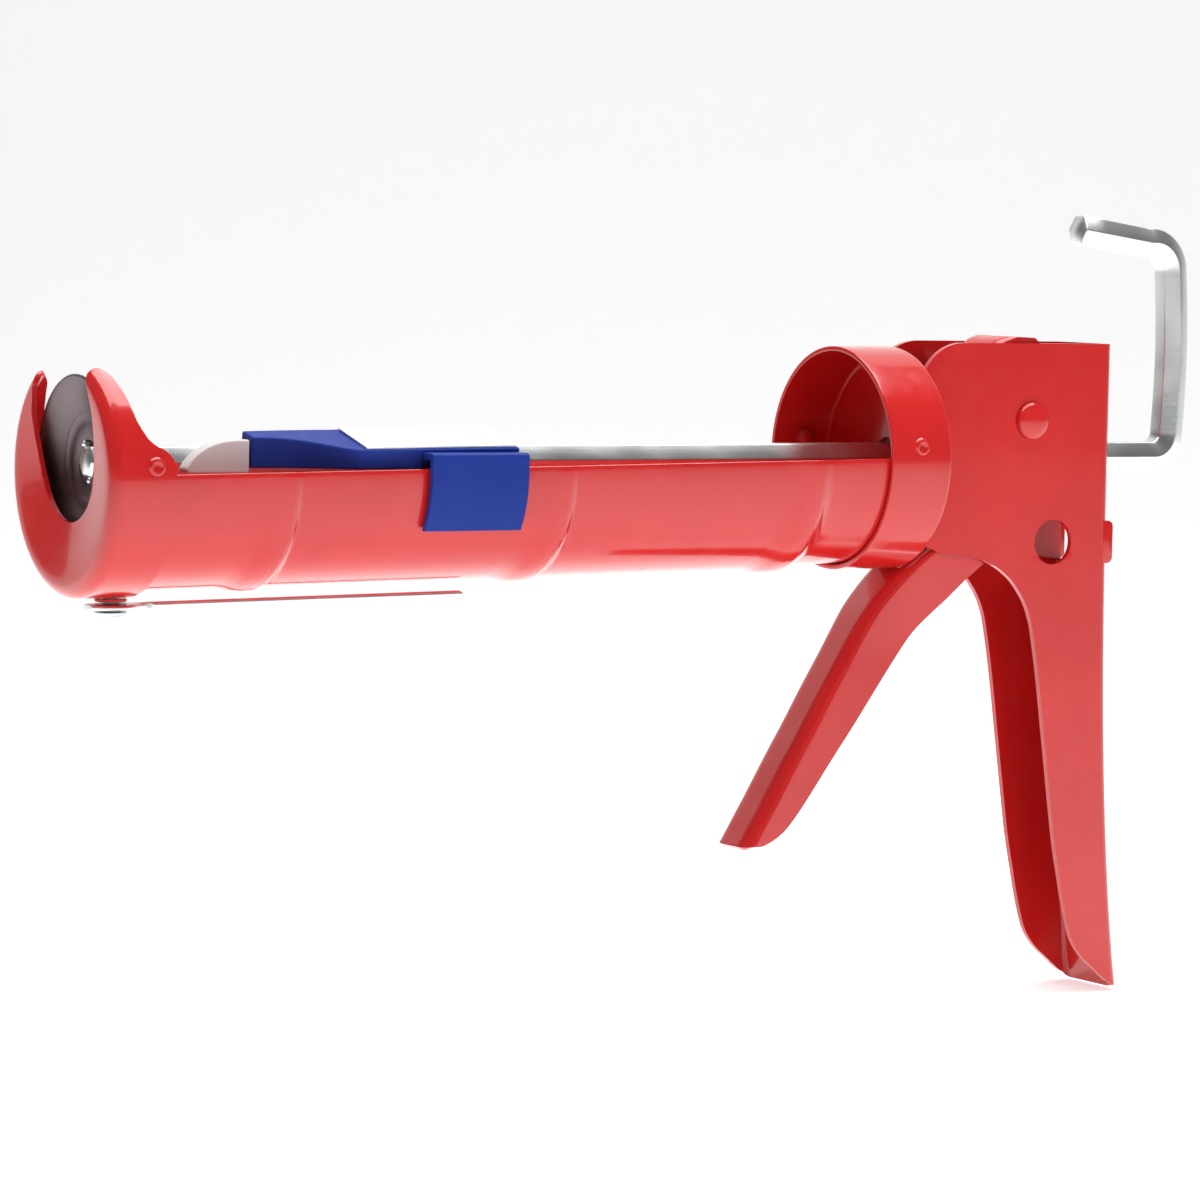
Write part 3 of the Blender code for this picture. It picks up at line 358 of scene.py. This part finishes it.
def settle(obj, cutters=()):
    """Turns a piece's modifiers into its mesh and takes its cutters away."""
    even = obj.modifiers.new("even", "WEIGHTED_NORMAL")
    even.keep_sharp = True
    even.weight = 80
    bpy.context.view_layer.update()
    graph = bpy.context.evaluated_depsgraph_get()
    seen = obj.evaluated_get(graph)
    mesh = bpy.data.meshes.new_from_object(seen, preserve_all_data_layers=True, depsgraph=graph)
    obj.modifiers.clear()
    obj.data = mesh
    for cutter in cutters:
        bpy.data.objects.remove(cutter, do_unlink=True)


def lookup(table, value):
    """Reads a table of (place, amount) between its points."""
    return float(np.interp(value, [a for a, _ in table], [b for _, b in table]))


# ---------------------------------------------------------------- cradle, cup and nose


def tube_radius(x):
    """Outer radius of the half tube: three beads with a sharp rear step, then the step into the cup."""
    radius = TUBE_RADIUS
    for end in RIB_ENDS:
        keys = [(end - 10.0, 0), (end - 7.4, 0.22), (end - 4.6, 0.80), (end - 2.6, 1.0), (end - 0.6, 0.96)]
        keys += [(end + 0.5, 0.62), (end + 1.5, 0.1), (end + 2.2, 0)]
        radius += lookup(keys, x)
    if x > -17.2:
        radius -= 0.7 * min((x + 17.2) / 2.6, 1)
    return radius


def make_cradle():
    stops = list(np.linspace(-198, -170, 12))
    for end in RIB_ENDS:
        stops += list(np.linspace(end - 10.4, end - 3.2, 14)) + list(np.linspace(end - 2.8, end + 3.0, 22))
    for low, high, count in ((-154, -100, 16), (-83, -31, 16), (-15.6, 13, 12)):
        stops += list(np.linspace(low, high, count))
    rise = math.asin(1.1 / TUBE_RADIUS)
    rows = []
    for x in sorted(set(round(float(stop), 3) for stop in stops), reverse=True):
        angles = np.linspace(math.pi - rise, 2 * math.pi + rise, 73)
        radius = tube_radius(x)
        rows.append([(x, radius * math.cos(a), radius * math.sin(a)) for a in angles])
    mesh = grid("cradle_tube", rows, flip=True)
    cradle = new_piece("cradle_tube", mesh, RED, "frame", ["cradle"], droops=True)
    solidify(cradle, TUBE_WALL)
    round_edges(cradle, 0.28)
    settle(cradle)


def nose_point(s):
    """(radius, x) along the nose's section: to 1 the skirt, to 2 the rounded flank, to 3 the dished face."""
    if s <= 1:
        return NOSE_OUTER, -188.5 - 11.95 * s
    if s <= 2:
        turn = (s - 1) * math.pi / 2
        return CREST_RADIUS + CORNER * math.cos(turn), CREST_X + CORNER * (1 - math.sin(turn))
    deep = (CREST_RADIUS - SLOT_RADIUS) * (s - 2)
    return CREST_RADIUS - deep, CREST_X + 0.175 * (math.hypot(deep, 2.0) - 2.0)


# Degrees round from the bottom, and where the sheet's two edges lie along its section there.
NOSE_REAR_EDGE = [
    (0, 0), (92, 0), (95, 0.02), (98, 0.09), (101, 0.22), (102.8, 0.38), (106, 0.52), (110.7, 0.62),
    (115.3, 0.69), (121.8, 0.73), (128.8, 0.77), (135, 0.82), (141.3, 0.87), (145, 0.94),
    (147.5, 1.03), (148.4, 1.14),
]
NOSE_SLOT_EDGE = [
    (88, 3.0), (92, 2.985), (95, 2.97), (98, 2.945), (104, 2.87), (110.7, 2.79), (116, 2.69),
    (121.8, 2.56), (125.5, 2.48), (129.5, 2.36), (132.5, 2.28), (136, 2.22), (139, 2.16), (142, 2.07),
    (145, 1.95), (147.5, 1.78), (148.4, 1.62),
]
NOSE_ROLL = 3.0  # degrees: the nose sits turned a little, its near horn higher


def make_nose():
    turns = list(np.linspace(0, 92, 36)) + list(np.linspace(93.5, 108, 16))
    turns += list(np.linspace(109.5, 148.4, 36))
    turns = [-t for t in reversed(turns[1:])] + turns
    rows = []
    for turn in turns:
        start = lookup(NOSE_REAR_EDGE, abs(turn))
        low = SLOT_RISE * math.cos(math.radians(turn))
        slot = math.sqrt(low**2 + SLOT_RADIUS**2 - SLOT_RISE**2) - low
        end = lookup(NOSE_SLOT_EDGE, abs(turn))
        if abs(turn) <= 88:
            end = 2 + (CREST_RADIUS - slot) / (CREST_RADIUS - SLOT_RADIUS)
        row = []
        for u in np.linspace(0, 1, 44):
            radius, x = nose_point(start + (end - start) * u)
            angle = math.radians(turn + NOSE_ROLL)
            row.append((x, -radius * math.sin(angle), -radius * math.cos(angle)))
        rows.append(row)
    mesh = grid("nose_shell", rows, flip=True)
    nose = new_piece("nose_shell", mesh, RED, "frame", ["nose_cap"], droops=True)
    solidify(nose, NOSE_WALL)
    round_edges(nose, 0.5)
    settle(nose)


def make_cup():
    corner = arc((25.4, 15.9), 1.6, 0, 90, 8)
    profile = [(26.75, 0.0), (26.93, 0.08), (27.0, 0.3)] + [(27.0, x) for x in (3, 6, 9, 12)] + corner
    profile += [(20, 17.5), (10, 17.5), (5.0, 17.5), (4.8, 17.3), (4.8, 16.2), (5.0, 16.0), (12, 16.0)]
    profile += [(20, 16.0)]
    profile += [(24.8, 16.0), (25.5, 15.7), (25.8, 15.0), (25.8, 8), (25.8, 0.3), (25.87, 0.08), (26.05, 0.0)]
    mesh = turned("cup_shell", profile, "X", (0, 0, 0), 144, closed=True)
    cup = new_piece("cup_shell", mesh, RED, "frame", ["rear_cup"])
    settle(cup)


def make_stakes():
    """Pressed stakes: a low ring round a pit, on each side of the nose and the cup."""
    for end, side in (("near", -1), ("far", 1)):
        for where, x, z, outer in (("cup", 8.5, 3.8, CUP_OUTER), ("nose", -193.2, 2.9, NOSE_OUTER)):
            at = math.sqrt(outer**2 - z**2)
            profile = [(0, at - 0.1), (0.5, at - 0.05), (0.9, at + 0.25), (1.25, at + 0.5), (1.6, at + 0.46)]
            profile += [(2.0, at + 0.12), (2.3, at - 0.25), (2.3, at - 3.1), (0, at - 3.1)]
            name = f"{where}_stake_{end}"
            mesh = turned(name, profile, "Y", (x, 0, z), 40, side=side)
            new_piece(name, mesh, RED, "frame", [f"{where}_rivet_{end}"], droops=where == "nose")


# ---------------------------------------------------------------- rod and piston


def hook_path():
    """(x, z) of the rod's centre line from its front end round the ladder hook."""
    drop = math.atan2(3.0, 21.4)
    path = [(PISTON_FACE, 0), (-150, 0), (-100, 0), (-50, 0), (0, 0), (50, 0), (80, 0), (90, 0)]
    path += arc((94.6, 6.0), 6.0, -90, 0, 14)
    for i in range(1, 12):
        share = i / 12
        path.append((100.6 + 0.84 * math.sin(math.pi * share), 6.0 + 40.0 * share))
    path += arc((93.1, 46.0), 7.5, 0, 90 + math.degrees(drop), 16)
    last = path[-1]
    for share in (0.34, 0.67, 1):
        x = last[0] + (71.9 - last[0]) * share
        path.append((x, last[1] + (last[0] - x) * math.tan(drop)))
    return path


def make_rod():
    corner = ROD_FLATS / math.sqrt(3)
    section = []
    for i in range(6):
        angle = math.radians(60 * i)
        for off in (-4.5, -1.5, 1.5, 4.5):
            reach = (corner - 0.12) if abs(off) < 2 else (corner - 0.12) * 0.982
            turn = angle + math.radians(off)
            section.append((reach * math.cos(turn), reach * math.sin(turn)))
    path = hook_path()
    rows = []
    for i, (x, z) in enumerate(path):
        before, after = path[max(i - 1, 0)], path[min(i + 1, len(path) - 1)]
        along = Vector((after[0] - before[0], after[1] - before[1])).normalized()
        normal = Vector((-along.y, along.x))
        rows.append([(x + normal.x * v, u, z + normal.y * v) for u, v in section])
    ends = []
    for at, inward in ((0, 1), (-1, -1)):
        x, z = path[at]
        nearby = path[at + inward]
        reach, share = (0.8, 0.76) if at == 0 else (0.35, 0.9)
        away = Vector((x - nearby[0], z - nearby[1])).normalized() * reach
        middle = Vector((x, 0, z))
        push = Vector((away.x, 0, away.y))
        ends.append([tuple(middle + (Vector(p) - middle) * share + push) for p in rows[at]])
    rows = [ends[0]] + rows + [ends[1]]
    mesh = grid("push_rod", rows, closed_rows=True, caps=True)
    rod = new_piece("push_rod", mesh, ZINC, "rod", ["hex_rod"])
    rod.data.set_sharp_from_angle(angle=math.radians(50))


def make_piston():
    face, sheet = PISTON_FACE, PISTON_SHEET
    outer = [(5.0, face), (8.6, face), (9.9, face - 0.05), (10.5, face - 0.4), (11.0, face - 0.5)]
    outer += [(11.7, face - 0.62), (13.5, face - 1.3), (16.0, face - 2.3), (18.0, face - 3.15)]
    outer += [(19.0, face - 3.52), (19.4, face - 3.5), (19.6, face - 3.25), (19.5, face - 2.8)]
    inner = [(19.1, face - 2.5), (18.2, face - 2.1), (16.0, face - 1.2), (13.5, face - 0.2)]
    inner += [(11.5, face + 0.5), (10.2, face + sheet), (5.0, face + sheet)]
    mesh = turned("piston_dish", outer + inner, "X", (0, 0, 0), 96, closed=True)
    dish = new_piece("piston_dish", mesh, DARK_WITH_RED_REFLECTION, "rod", ["piston_front_disc"])
    settle(dish)
    for turn in (70, 250):
        angle = math.radians(turn)
        at = Vector((face - 0.45, 4.3 * math.cos(angle), 4.3 * math.sin(angle)))
        profile = [(0, -0.5), (0.5, -0.42), (0.75, -0.1), (0.75, 0.9), (0, 0.9)]
        mesh = turned(f"rod_stake_{turn}", profile, "X", at, 16)
        new_piece(f"rod_stake_{turn}", mesh, ZINC, "rod")


# ---------------------------------------------------------------- handle and trigger


def channel(name, rows, bend, flip, folds=9, web=5):
    """The outside of a sheet folded into a U: rows of fold point, edge point and half width."""
    lines = []
    for fold, edge, half in rows:
        fold, edge = Vector(fold), Vector(edge)
        inward = (edge - fold).normalized()
        length = (edge - fold).length
        line = [(edge + (fold - edge) * (i / 5) * (1 - bend / length), -half) for i in range(5)]
        for i in range(folds + 1):
            a = math.pi / 2 * i / folds
            line.append((fold + inward * bend * (1 - math.sin(a)), -(half - bend * (1 - math.cos(a)))))
        flat = [(fold, -(half - bend) * (1 - i / web)) for i in range(1, web)]
        whole = line + flat + [(fold, 0)]
        whole += [(place, -y) for place, y in reversed(line + flat)]
        lines.append([(place.x, y, place.y) for place, y in whole])
    return grid(name, lines, flip=flip)


def spine_x(z):
    """Where the handle's rear edge lies: upright, then swept back towards its tip."""
    share = (28.3 - z) / (28.3 + 132.4)
    return 76.0 + 7.0 * share**3.2


def make_handle():
    quarter = np.linspace(math.pi / 2, math.pi, 14)
    corner = [(30.8 + 12.2 * math.cos(a), 16.8 + 11.5 * math.sin(a)) for a in quarter]
    edges = [(x, z, z) for x, z in corner] + [(18.6, z, z) for z in np.linspace(14, -18, 9)]
    belly = [
        (18.7, -20.4, -20.2), (21.4, -21.3, -21.0), (26.6, -22.9, -22.4), (31.0, -23.6, -23.4),
        (35.5, -24.1, -24.6), (38.5, -24.9, -25.8), (41.6, -26.2, -27.2), (44.2, -27.8, -29.0),
        (46.8, -29.9, -31.4), (49.3, -32.9, -34.6), (51.2, -35.9, -38.2), (52.8, -39.8, -42.6),
        (53.9, -44.6, -47.8), (55.7, -54.5, -58.2), (58.1, -70.7, -74.6), (60.0, -83.4, -87.4),
        (61.8, -95.0, -98.4), (63.8, -104.5, -107.2), (65.2, -110.8, -113.0), (66.6, -115.9, -117.8),
        (68.0, -119.7, -121.4), (69.9, -122.6, -124.2), (72.1, -125.0, -126.6), (74.7, -127.1, -128.8),
        (77.2, -129.2, -130.8), (79.0, -130.6, -132.2),
    ]
    curve = spline(belly, 4)
    rows = [((spine_x(drop), drop), (x, z), HANDLE_HALF) for x, z, drop in edges + curve]
    mesh = channel("handle_shell", rows, 3.0, flip=True)
    handle = new_piece("handle_shell", mesh, RED, "frame", ["handle_frame"])
    solidify(handle, HANDLE_SHEET)
    window = prism("window", [(-9.3, -26.2), (9.3, -26.2), (9.3, -15.2), (-9.3, -15.2)], "X", 72.9, 84)
    round_hole = turned("hole", [(0, 5), (5.55, 5), (5.55, 20), (0, 20)], "Y", (58.8, 0, -20.5), 72, side=-1)
    pivot = turned("pivot", [(0, -20), (PIVOT_HOLE, -20), (PIVOT_HOLE, 20), (0, 20)], "Y", PIVOT, 40)
    way_out = turned("way_out", [(0, 60), (4.7, 60), (4.7, 90), (0, 90)], "X", (0, 0, 0), 48)
    cutters = cut_out(handle, [window, round_hole, pivot, way_out])
    round_edges(handle, 0.3, 2, 55)
    settle(handle, cutters)
    handle.data.set_sharp_from_angle(angle=math.radians(46))
    outline = arc((75.6, -16.9), 1.5, 90, 0, 6) + arc((75.6, -24.5), 1.5, 0, -90, 6)
    outline += [(74.2, -26.0), (74.2, -15.4)]
    for end, low in (("near", -10.75), ("far", 9.35)):
        mesh = prism(f"window_lip_{end}", outline, "Y", low, low + 1.4)
        lip = new_piece(f"window_lip_{end}", mesh, RED, "frame")
        round_edges(lip, 0.25, 2, 50)


def make_trigger():
    table = [
        (46.0, 29.9, 53.4, 29.6, 8.5), (43.4, 28.8, 56.8, 26.6, 8.5), (41.4, 26.4, 58.8, 21.4, 8.5),
        (40.2, 21.0, 59.5, 15.0, 8.5), (41.2, 14.0, 59.6, 9.4, 8.5), (42.0, 4.0, 58.5, 1.0, 8.5),
        (41.3, -6.0, 55.5, -7.0, 8.5), (37.0, -12.8, 51.0, -14.5, 8.5),
        (29.6, -17.6, 46.0, -20.8, 8.5), (22.2, -22.8, 40.6, -25.2, 8.35),
        (16.6, -27.3, 34.5, -29.9, 8.05), (12.3, -31.4, 29.6, -34.2, 7.75),
        (8.1, -36.2, 25.0, -37.9, 7.45), (4.9, -41.0, 20.6, -41.8, 7.2),
        (1.1, -47.3, 16.8, -46.5, 7.0), (-4.1, -55.8, 10.6, -55.0, 7.0),
        (-9.0, -64.1, 4.2, -64.0, 7.0), (-14.2, -72.6, -2.2, -72.6, 7.0),
        (-19.6, -81.8, -8.7, -81.6, 7.0), (-22.3, -86.2, -12.1, -86.0, 7.0),
        (-24.4, -89.7, -15.2, -89.4, 7.0), (-25.7, -91.8, -18.4, -91.6, 7.0),
        (-26.5, -93.1, -21.4, -92.9, 7.0),
    ]
    rows = [((a, b), (c, d), half) for a, b, c, d, half in spline(table, 4)]
    mesh = channel("trigger_shell", rows, 3.2, flip=False)
    trigger = new_piece("trigger_shell", mesh, RED, "trigger_lever", ["trigger"])
    solidify(trigger, HANDLE_SHEET)
    window = prism("window", [(34.0, -11.5), (45.5, -11.5), (45.5, 11.5), (34.0, 11.5)], "Y", -7, 7)
    pivot = turned("pivot", [(0, -20), (PIVOT_HOLE, -20), (PIVOT_HOLE, 20), (0, 20)], "Y", PIVOT, 40)
    cutters = cut_out(trigger, [window, pivot])
    round_edges(trigger, 0.35, 2, 50)
    settle(trigger, cutters)
    trigger.data.set_sharp_from_angle(angle=math.radians(46))


def make_pivot():
    dome = [(0, 13.0), (1.6, 12.94), (2.9, 12.72), (3.8, 12.35), (4.35, 11.9), (4.6, 11.4), (4.6, 11.15)]
    dome += [(4.5, 11.1), (3.0, 11.1), (3.0, 0)]
    whole = dome + [(r, -h) for r, h in reversed(dome[:-1])]
    mesh = turned("pivot_pin", whole, "Y", PIVOT, 56)
    pin = new_piece("pivot_pin", mesh, RED, "frame", ["pivot_rivet"])
    pin.data.set_sharp_from_angle(angle=math.radians(50))


def make_spring():
    turns, count = 5.5, 330
    start, end, wire, reach = 18.45, 35.25, 0.64, 6.1
    rows = []
    points = []
    for i in range(count + 1):
        share = i / count
        closed = 0.75 / turns
        along = min(max((share - closed) / (1 - 2 * closed), 0), 1)
        angle = 2 * math.pi * turns * share
        x = start + (end - start) * (0.12 * share + 0.88 * along)
        points.append(Vector((x, reach * math.sin(angle), reach * math.cos(angle))))
    for i, point in enumerate(points):
        ahead = (points[min(i + 1, count)] - points[max(i - 1, 0)]).normalized()
        outward = Vector((0, point.y, point.z)).normalized()
        across = ahead.cross(outward).normalized()
        ring = [2 * math.pi * k / 12 for k in range(12)]
        rows.append([tuple(point + (outward * math.cos(a) + across * math.sin(a)) * wire) for a in ring])
    mesh = grid("return_coil", rows, closed_rows=True, caps=True)
    coil = new_piece("return_coil", mesh, SPRING, "frame", ["drive_spring"])
    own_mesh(coil)


# ---------------------------------------------------------------- seal punch


def make_punch():
    at = (PUNCH_X, 0)
    seat = [(2.2, -27.7), (3.5, -27.7), (3.7, -27.85), (3.7, -28.3), (3.5, -28.45), (2.2, -28.45)]
    mesh = turned("punch_seat", seat, "Z", (*at, 0), 40, closed=True)
    new_piece("punch_seat", mesh, RED, "frame", ["punch_boss"], droops=True)
    head = [(0, -25.4), (1.7, -25.4), (1.8, -25.6), (1.8, -30.65), (3.7, -30.65), (4.0, -30.85)]
    head += [(3.95, -31.3), (3.5, -31.75), (2.4, -31.98), (0, -32.05)]
    mesh = turned("punch_pin", head, "Z", (*at, 0), 44)
    pin = new_piece("punch_pin", mesh, ZINC_CROSS, "frame", ["punch_rivet"], droops=True)
    pin.data.set_sharp_from_angle(angle=math.radians(50))
    rows = []
    stops = [(-5.6, 1.6, 0.5), (-5.2, 2.9, 0.72), (-3.6, 4.6, 0.78), (-1.4, 5.5, 0.78), (0.6, 5.6, 0.78)]
    stops += [(2.6, 5.1, 0.78), (4.6, 3.8, 0.78), (6.4, 2.2, 0.78), (8.4, 1.15, 0.78), (10.6, 0.8, 0.78)]
    stops += [(40, 0.78, 0.78), (70, 0.78, 0.78), (87.2, 0.78, 0.78), (88.6, 0.68, 0.68), (89.5, 0.45, 0.45)]
    stops += [(89.95, 0.15, 0.15)]
    for along, half, thick in spline(stops, 3):
        ring = [2 * math.pi * k / 20 for k in range(20)]
        power = 0.55 if half > 1.2 else 1.0
        row = []
        for a in ring:
            c, s = math.cos(a), math.sin(a)
            row.append((at[0] + along, half * c, PUNCH_LEVEL + max(thick, 0.1) * math.copysign(abs(s) ** power, s)))
        rows.append(row)
    mesh = grid("punch_wire", rows, closed_rows=True, caps=True)
    punch = new_piece("punch_wire", mesh, ZINC, "punch", ["seal_punch"], droops=True)
    hole = turned("eye", [(0, -34), (2.15, -34), (2.15, -27), (0, -27)], "Z", (*at, 0), 36)
    cutters = cut_out(punch, [hole], droops=True)
    settle(punch, cutters)
    punch.data.set_sharp_from_angle(angle=math.radians(50))


# ---------------------------------------------------------------- smoothing tool


def make_tool():
    stations = [
        # x, near top y and z, far top y and z, foot y near
        (-100.2, -24.0, 3.9, -8.0, 8.4, -22.6), (-110.0, -24.0, 3.8, -8.0, 8.2, -22.6),
        (-125.0, -24.0, 3.65, -8.0, 7.9, -22.6), (-139.0, -24.0, 3.5, -8.0, 7.65, -22.4),
        (-142.0, -23.2, 3.65, -8.0, 7.6, -21.4), (-145.0, -21.4, 4.1, -8.0, 7.6, -19.6),
        (-148.5, -18.9, 4.8, -8.0, 7.55, -17.2), (-152.0, -16.6, 5.4, -8.0, 7.5, -15.4),
        (-155.5, -15.1, 5.8, -8.1, 7.45, -14.2), (-159.0, -14.4, 6.0, -8.3, 7.4, -13.6),
        (-163.4, -14.2, 6.05, -8.4, 7.3, -13.4),
    ]
    rows = []
    for x, near_y, near_z, far_y, far_z, foot_y in spline(stations, 3):
        top = [(near_y + (far_y - near_y) * t, near_z + (far_z - near_z) * t) for t in (0, 0.33, 0.67, 1)]
        foot = [(-7.4, -0.9), (-10.6, -0.9), (foot_y + 1.6, -0.9), (foot_y, -0.9)]
        side = [((foot_y + near_y) / 2 + 0.5, (near_z - 0.9) / 2)]
        rows.append([(x, y, z) for y, z in top + foot + side])
    mesh = grid("tool_body", rows, closed_rows=True, caps=True)
    body = new_piece("tool_body", mesh, BLUE, "smoother", ["smoother_body"])
    round_edges(body, 0.55, 3, 40)
    settle(body)
    body.data.set_sharp_from_angle(angle=math.radians(60))
    skirt = []
    for z in (0.2, -2.5, -5.5, -8.5, -11.5, -14.8):
        skirt.append((-math.sqrt(TUBE_RADIUS**2 - (z + 1.75) ** 2) - 0.85, z))
    clip = [(-22.6, 1.45), (-22.6, 3.0), (-27.6, 2.95), (-28.3, 2.6), (-28.55, 1.8)]
    clip += [(y - 1.5, z) for y, z in skirt] + skirt[::-1] + [(-26.9, 1.2), (-26.6, 1.45)]
    mesh = prism("tool_clip", clip, "X", -125.3, -100.3)
    band = new_piece("tool_clip", mesh, BLUE, "smoother")
    round_edges(band, 0.45, 3, 30)
    settle(band)
    slope = math.atan2(4.35, 16.0)
    along = Vector((0, math.cos(slope), math.sin(slope)))
    up = Vector((0, -math.sin(slope), math.cos(slope)))

    rows = []
    for x in (-100.9, -139.4):
        base = Vector((x, -24.0, 3.9 - (-100.2 - x) * 0.0105))
        near = base + along * 0.8 + up * 0.05
        far = base + along * 15.4 + up * 0.05
        rows.append([tuple(corner) for corner in (near, far, far + up * 0.42, near + up * 0.42)])
    mesh = grid("tool_label", rows, closed_rows=True, caps=True)
    plate = new_piece("tool_label", mesh, PAPER, "smoother", ["smoother_label"])
    for polygon in plate.data.polygons:
        polygon.use_smooth = False
    round_edges(plate, 0.12, 2, 30)
    settle(plate)


def make_blade():
    """The soft tongue: a rounded slab, thinner towards its rim."""
    outline = [
        (-163.9, 5.5), (-167.0, 5.5), (-170.0, 5.25), (-172.6, 4.6), (-174.8, 3.7), (-176.8, 2.4),
        (-178.5, 0.7), (-179.5, -0.9), (-179.2, -1.8), (-178.0, -1.95), (-171.0, -1.95), (-163.9, -1.95),
    ]
    mesh = prism("tool_blade", outline, "Y", -13.7, -9.5)
    blade = new_piece("tool_blade", mesh, WHITE_WITH_RED_REFLECTION, "smoother", ["smoother_blade"])
    round_edges(blade, 1.3, 5, 50)
    settle(blade)


make_cradle()
make_nose()
make_cup()
make_stakes()
make_rod()
make_piston()
make_handle()
make_trigger()
make_pivot()
make_spring()
make_punch()
make_tool()
make_blade()

for node, material in (
    ("piston_back_disc", ZINC_CROSS),
    ("piston_collar", ZINC_CROSS),
    ("pivot_spacer", ZINC_CROSS),
    ("cutter_blade", ZINC_CROSS),
    ("cutter_rivet", ZINC_CROSS),
    ("drive_dog", DARK_WITH_RED_REFLECTION),
):
    for held in nodes[node].material_slots:
        held.material = material


# ---------------------------------------------------------------- floor, light and camera


def make_floor():
    """A pale floor that curves up into a backdrop well behind the gun."""
    level = cad_box[0].z - 0.0005
    across, away = Vector((0.859, -0.511, 0)), Vector((0.511, 0.859, 0))
    profile = [(-3.0, 0.0), (-1.5, 0.0), (0.0, 0.0), (1.4, 0.0)]
    profile += [(1.4 + 0.8 * math.sin(a), 0.8 - 0.8 * math.cos(a)) for a in np.linspace(0.1, math.pi / 2, 14)]
    profile.append((2.2, 3.2))
    mesh = bpy.data.meshes.new("floor")
    form = bmesh.new()
    lines = []
    for side in (-3.0, 3.0):
        edge = across * side
        lines.append([form.verts.new(edge + away * a + Vector((0, 0, level + h))) for a, h in profile])
    for i in range(len(profile) - 1):
        face = form.faces.new((lines[0][i], lines[1][i], lines[1][i + 1], lines[0][i + 1]))
        face.smooth = True
    form.to_mesh(mesh)
    form.free()
    floor = bpy.data.objects.new("floor", mesh)
    bpy.context.scene.collection.objects.link(floor)
    made = Nodes("pale_floor")
    pale = made.ramp(made.noise(1.5, 2.0), [(0.3, (0.80, 0.80, 0.80)), (0.7, (0.82, 0.82, 0.82))])
    made.link(pale, made.shader.inputs["Base Color"])
    made.set(Roughness=0.8, Emission_Color=(1, 1, 1, 1), Emission_Strength=0.52)
    mesh.materials.append(made.material)


def softbox(name, place, target, size, power, seen=True):
    lamp = bpy.data.lights.new(name, "AREA")
    lamp.shape = "RECTANGLE"
    lamp.size, lamp.size_y = size
    lamp.energy = power
    obj = bpy.data.objects.new(name, lamp)
    bpy.context.scene.collection.objects.link(obj)
    obj.location = place
    aim = Vector(target) - Vector(place)
    obj.rotation_euler = aim.to_track_quat("-Z", "Y").to_euler()
    obj.visible_glossy = seen


def make_light():
    world = bpy.data.worlds.new("studio")
    bpy.context.scene.world = world
    world.use_nodes = True
    back = world.node_tree.nodes["Background"]
    back.inputs["Color"].default_value = (1.0, 1.0, 1.0, 1.0)
    back.inputs["Strength"].default_value = 0.12
    softbox("overhead", (0.0, 0.05, 1.0), (0, 0, 0), (1.3, 0.9), 17.0)
    softbox("front_fill", (0.1, -2.0, 0.6), (0, 0, -0.02), (1.0, 0.8), 10.5, seen=False)


def make_camera():
    """152 mm lens, 31 degrees round from the side and 4 degrees above the rod."""
    heading, tilt, roll = math.radians(-30.754), math.radians(4.2), math.radians(1.221)
    back = Vector((math.sin(heading) * math.cos(tilt), -math.cos(heading) * math.cos(tilt), math.sin(tilt)))
    right = Vector((math.cos(heading), math.sin(heading), 0))
    up = back.cross(right)
    across = right * math.cos(roll) + up * math.sin(roll)
    upright = up * math.cos(roll) - right * math.sin(roll)
    lens = bpy.data.cameras.new("camera")
    lens.sensor_width = 36.0
    lens.lens = 152.27
    lens.clip_end = 50.0
    camera = bpy.data.objects.new("camera", lens)
    bpy.context.scene.collection.objects.link(camera)
    turn = Matrix((across, upright, back)).transposed().to_4x4()
    camera.matrix_world = Matrix.Translation(ORIGIN + Vector((-0.6745, -1.0258, 0.0544))) @ turn
    bpy.context.scene.camera = camera


make_floor()
make_light()
make_camera()
bpy.context.scene.view_settings.view_transform = "Standard"
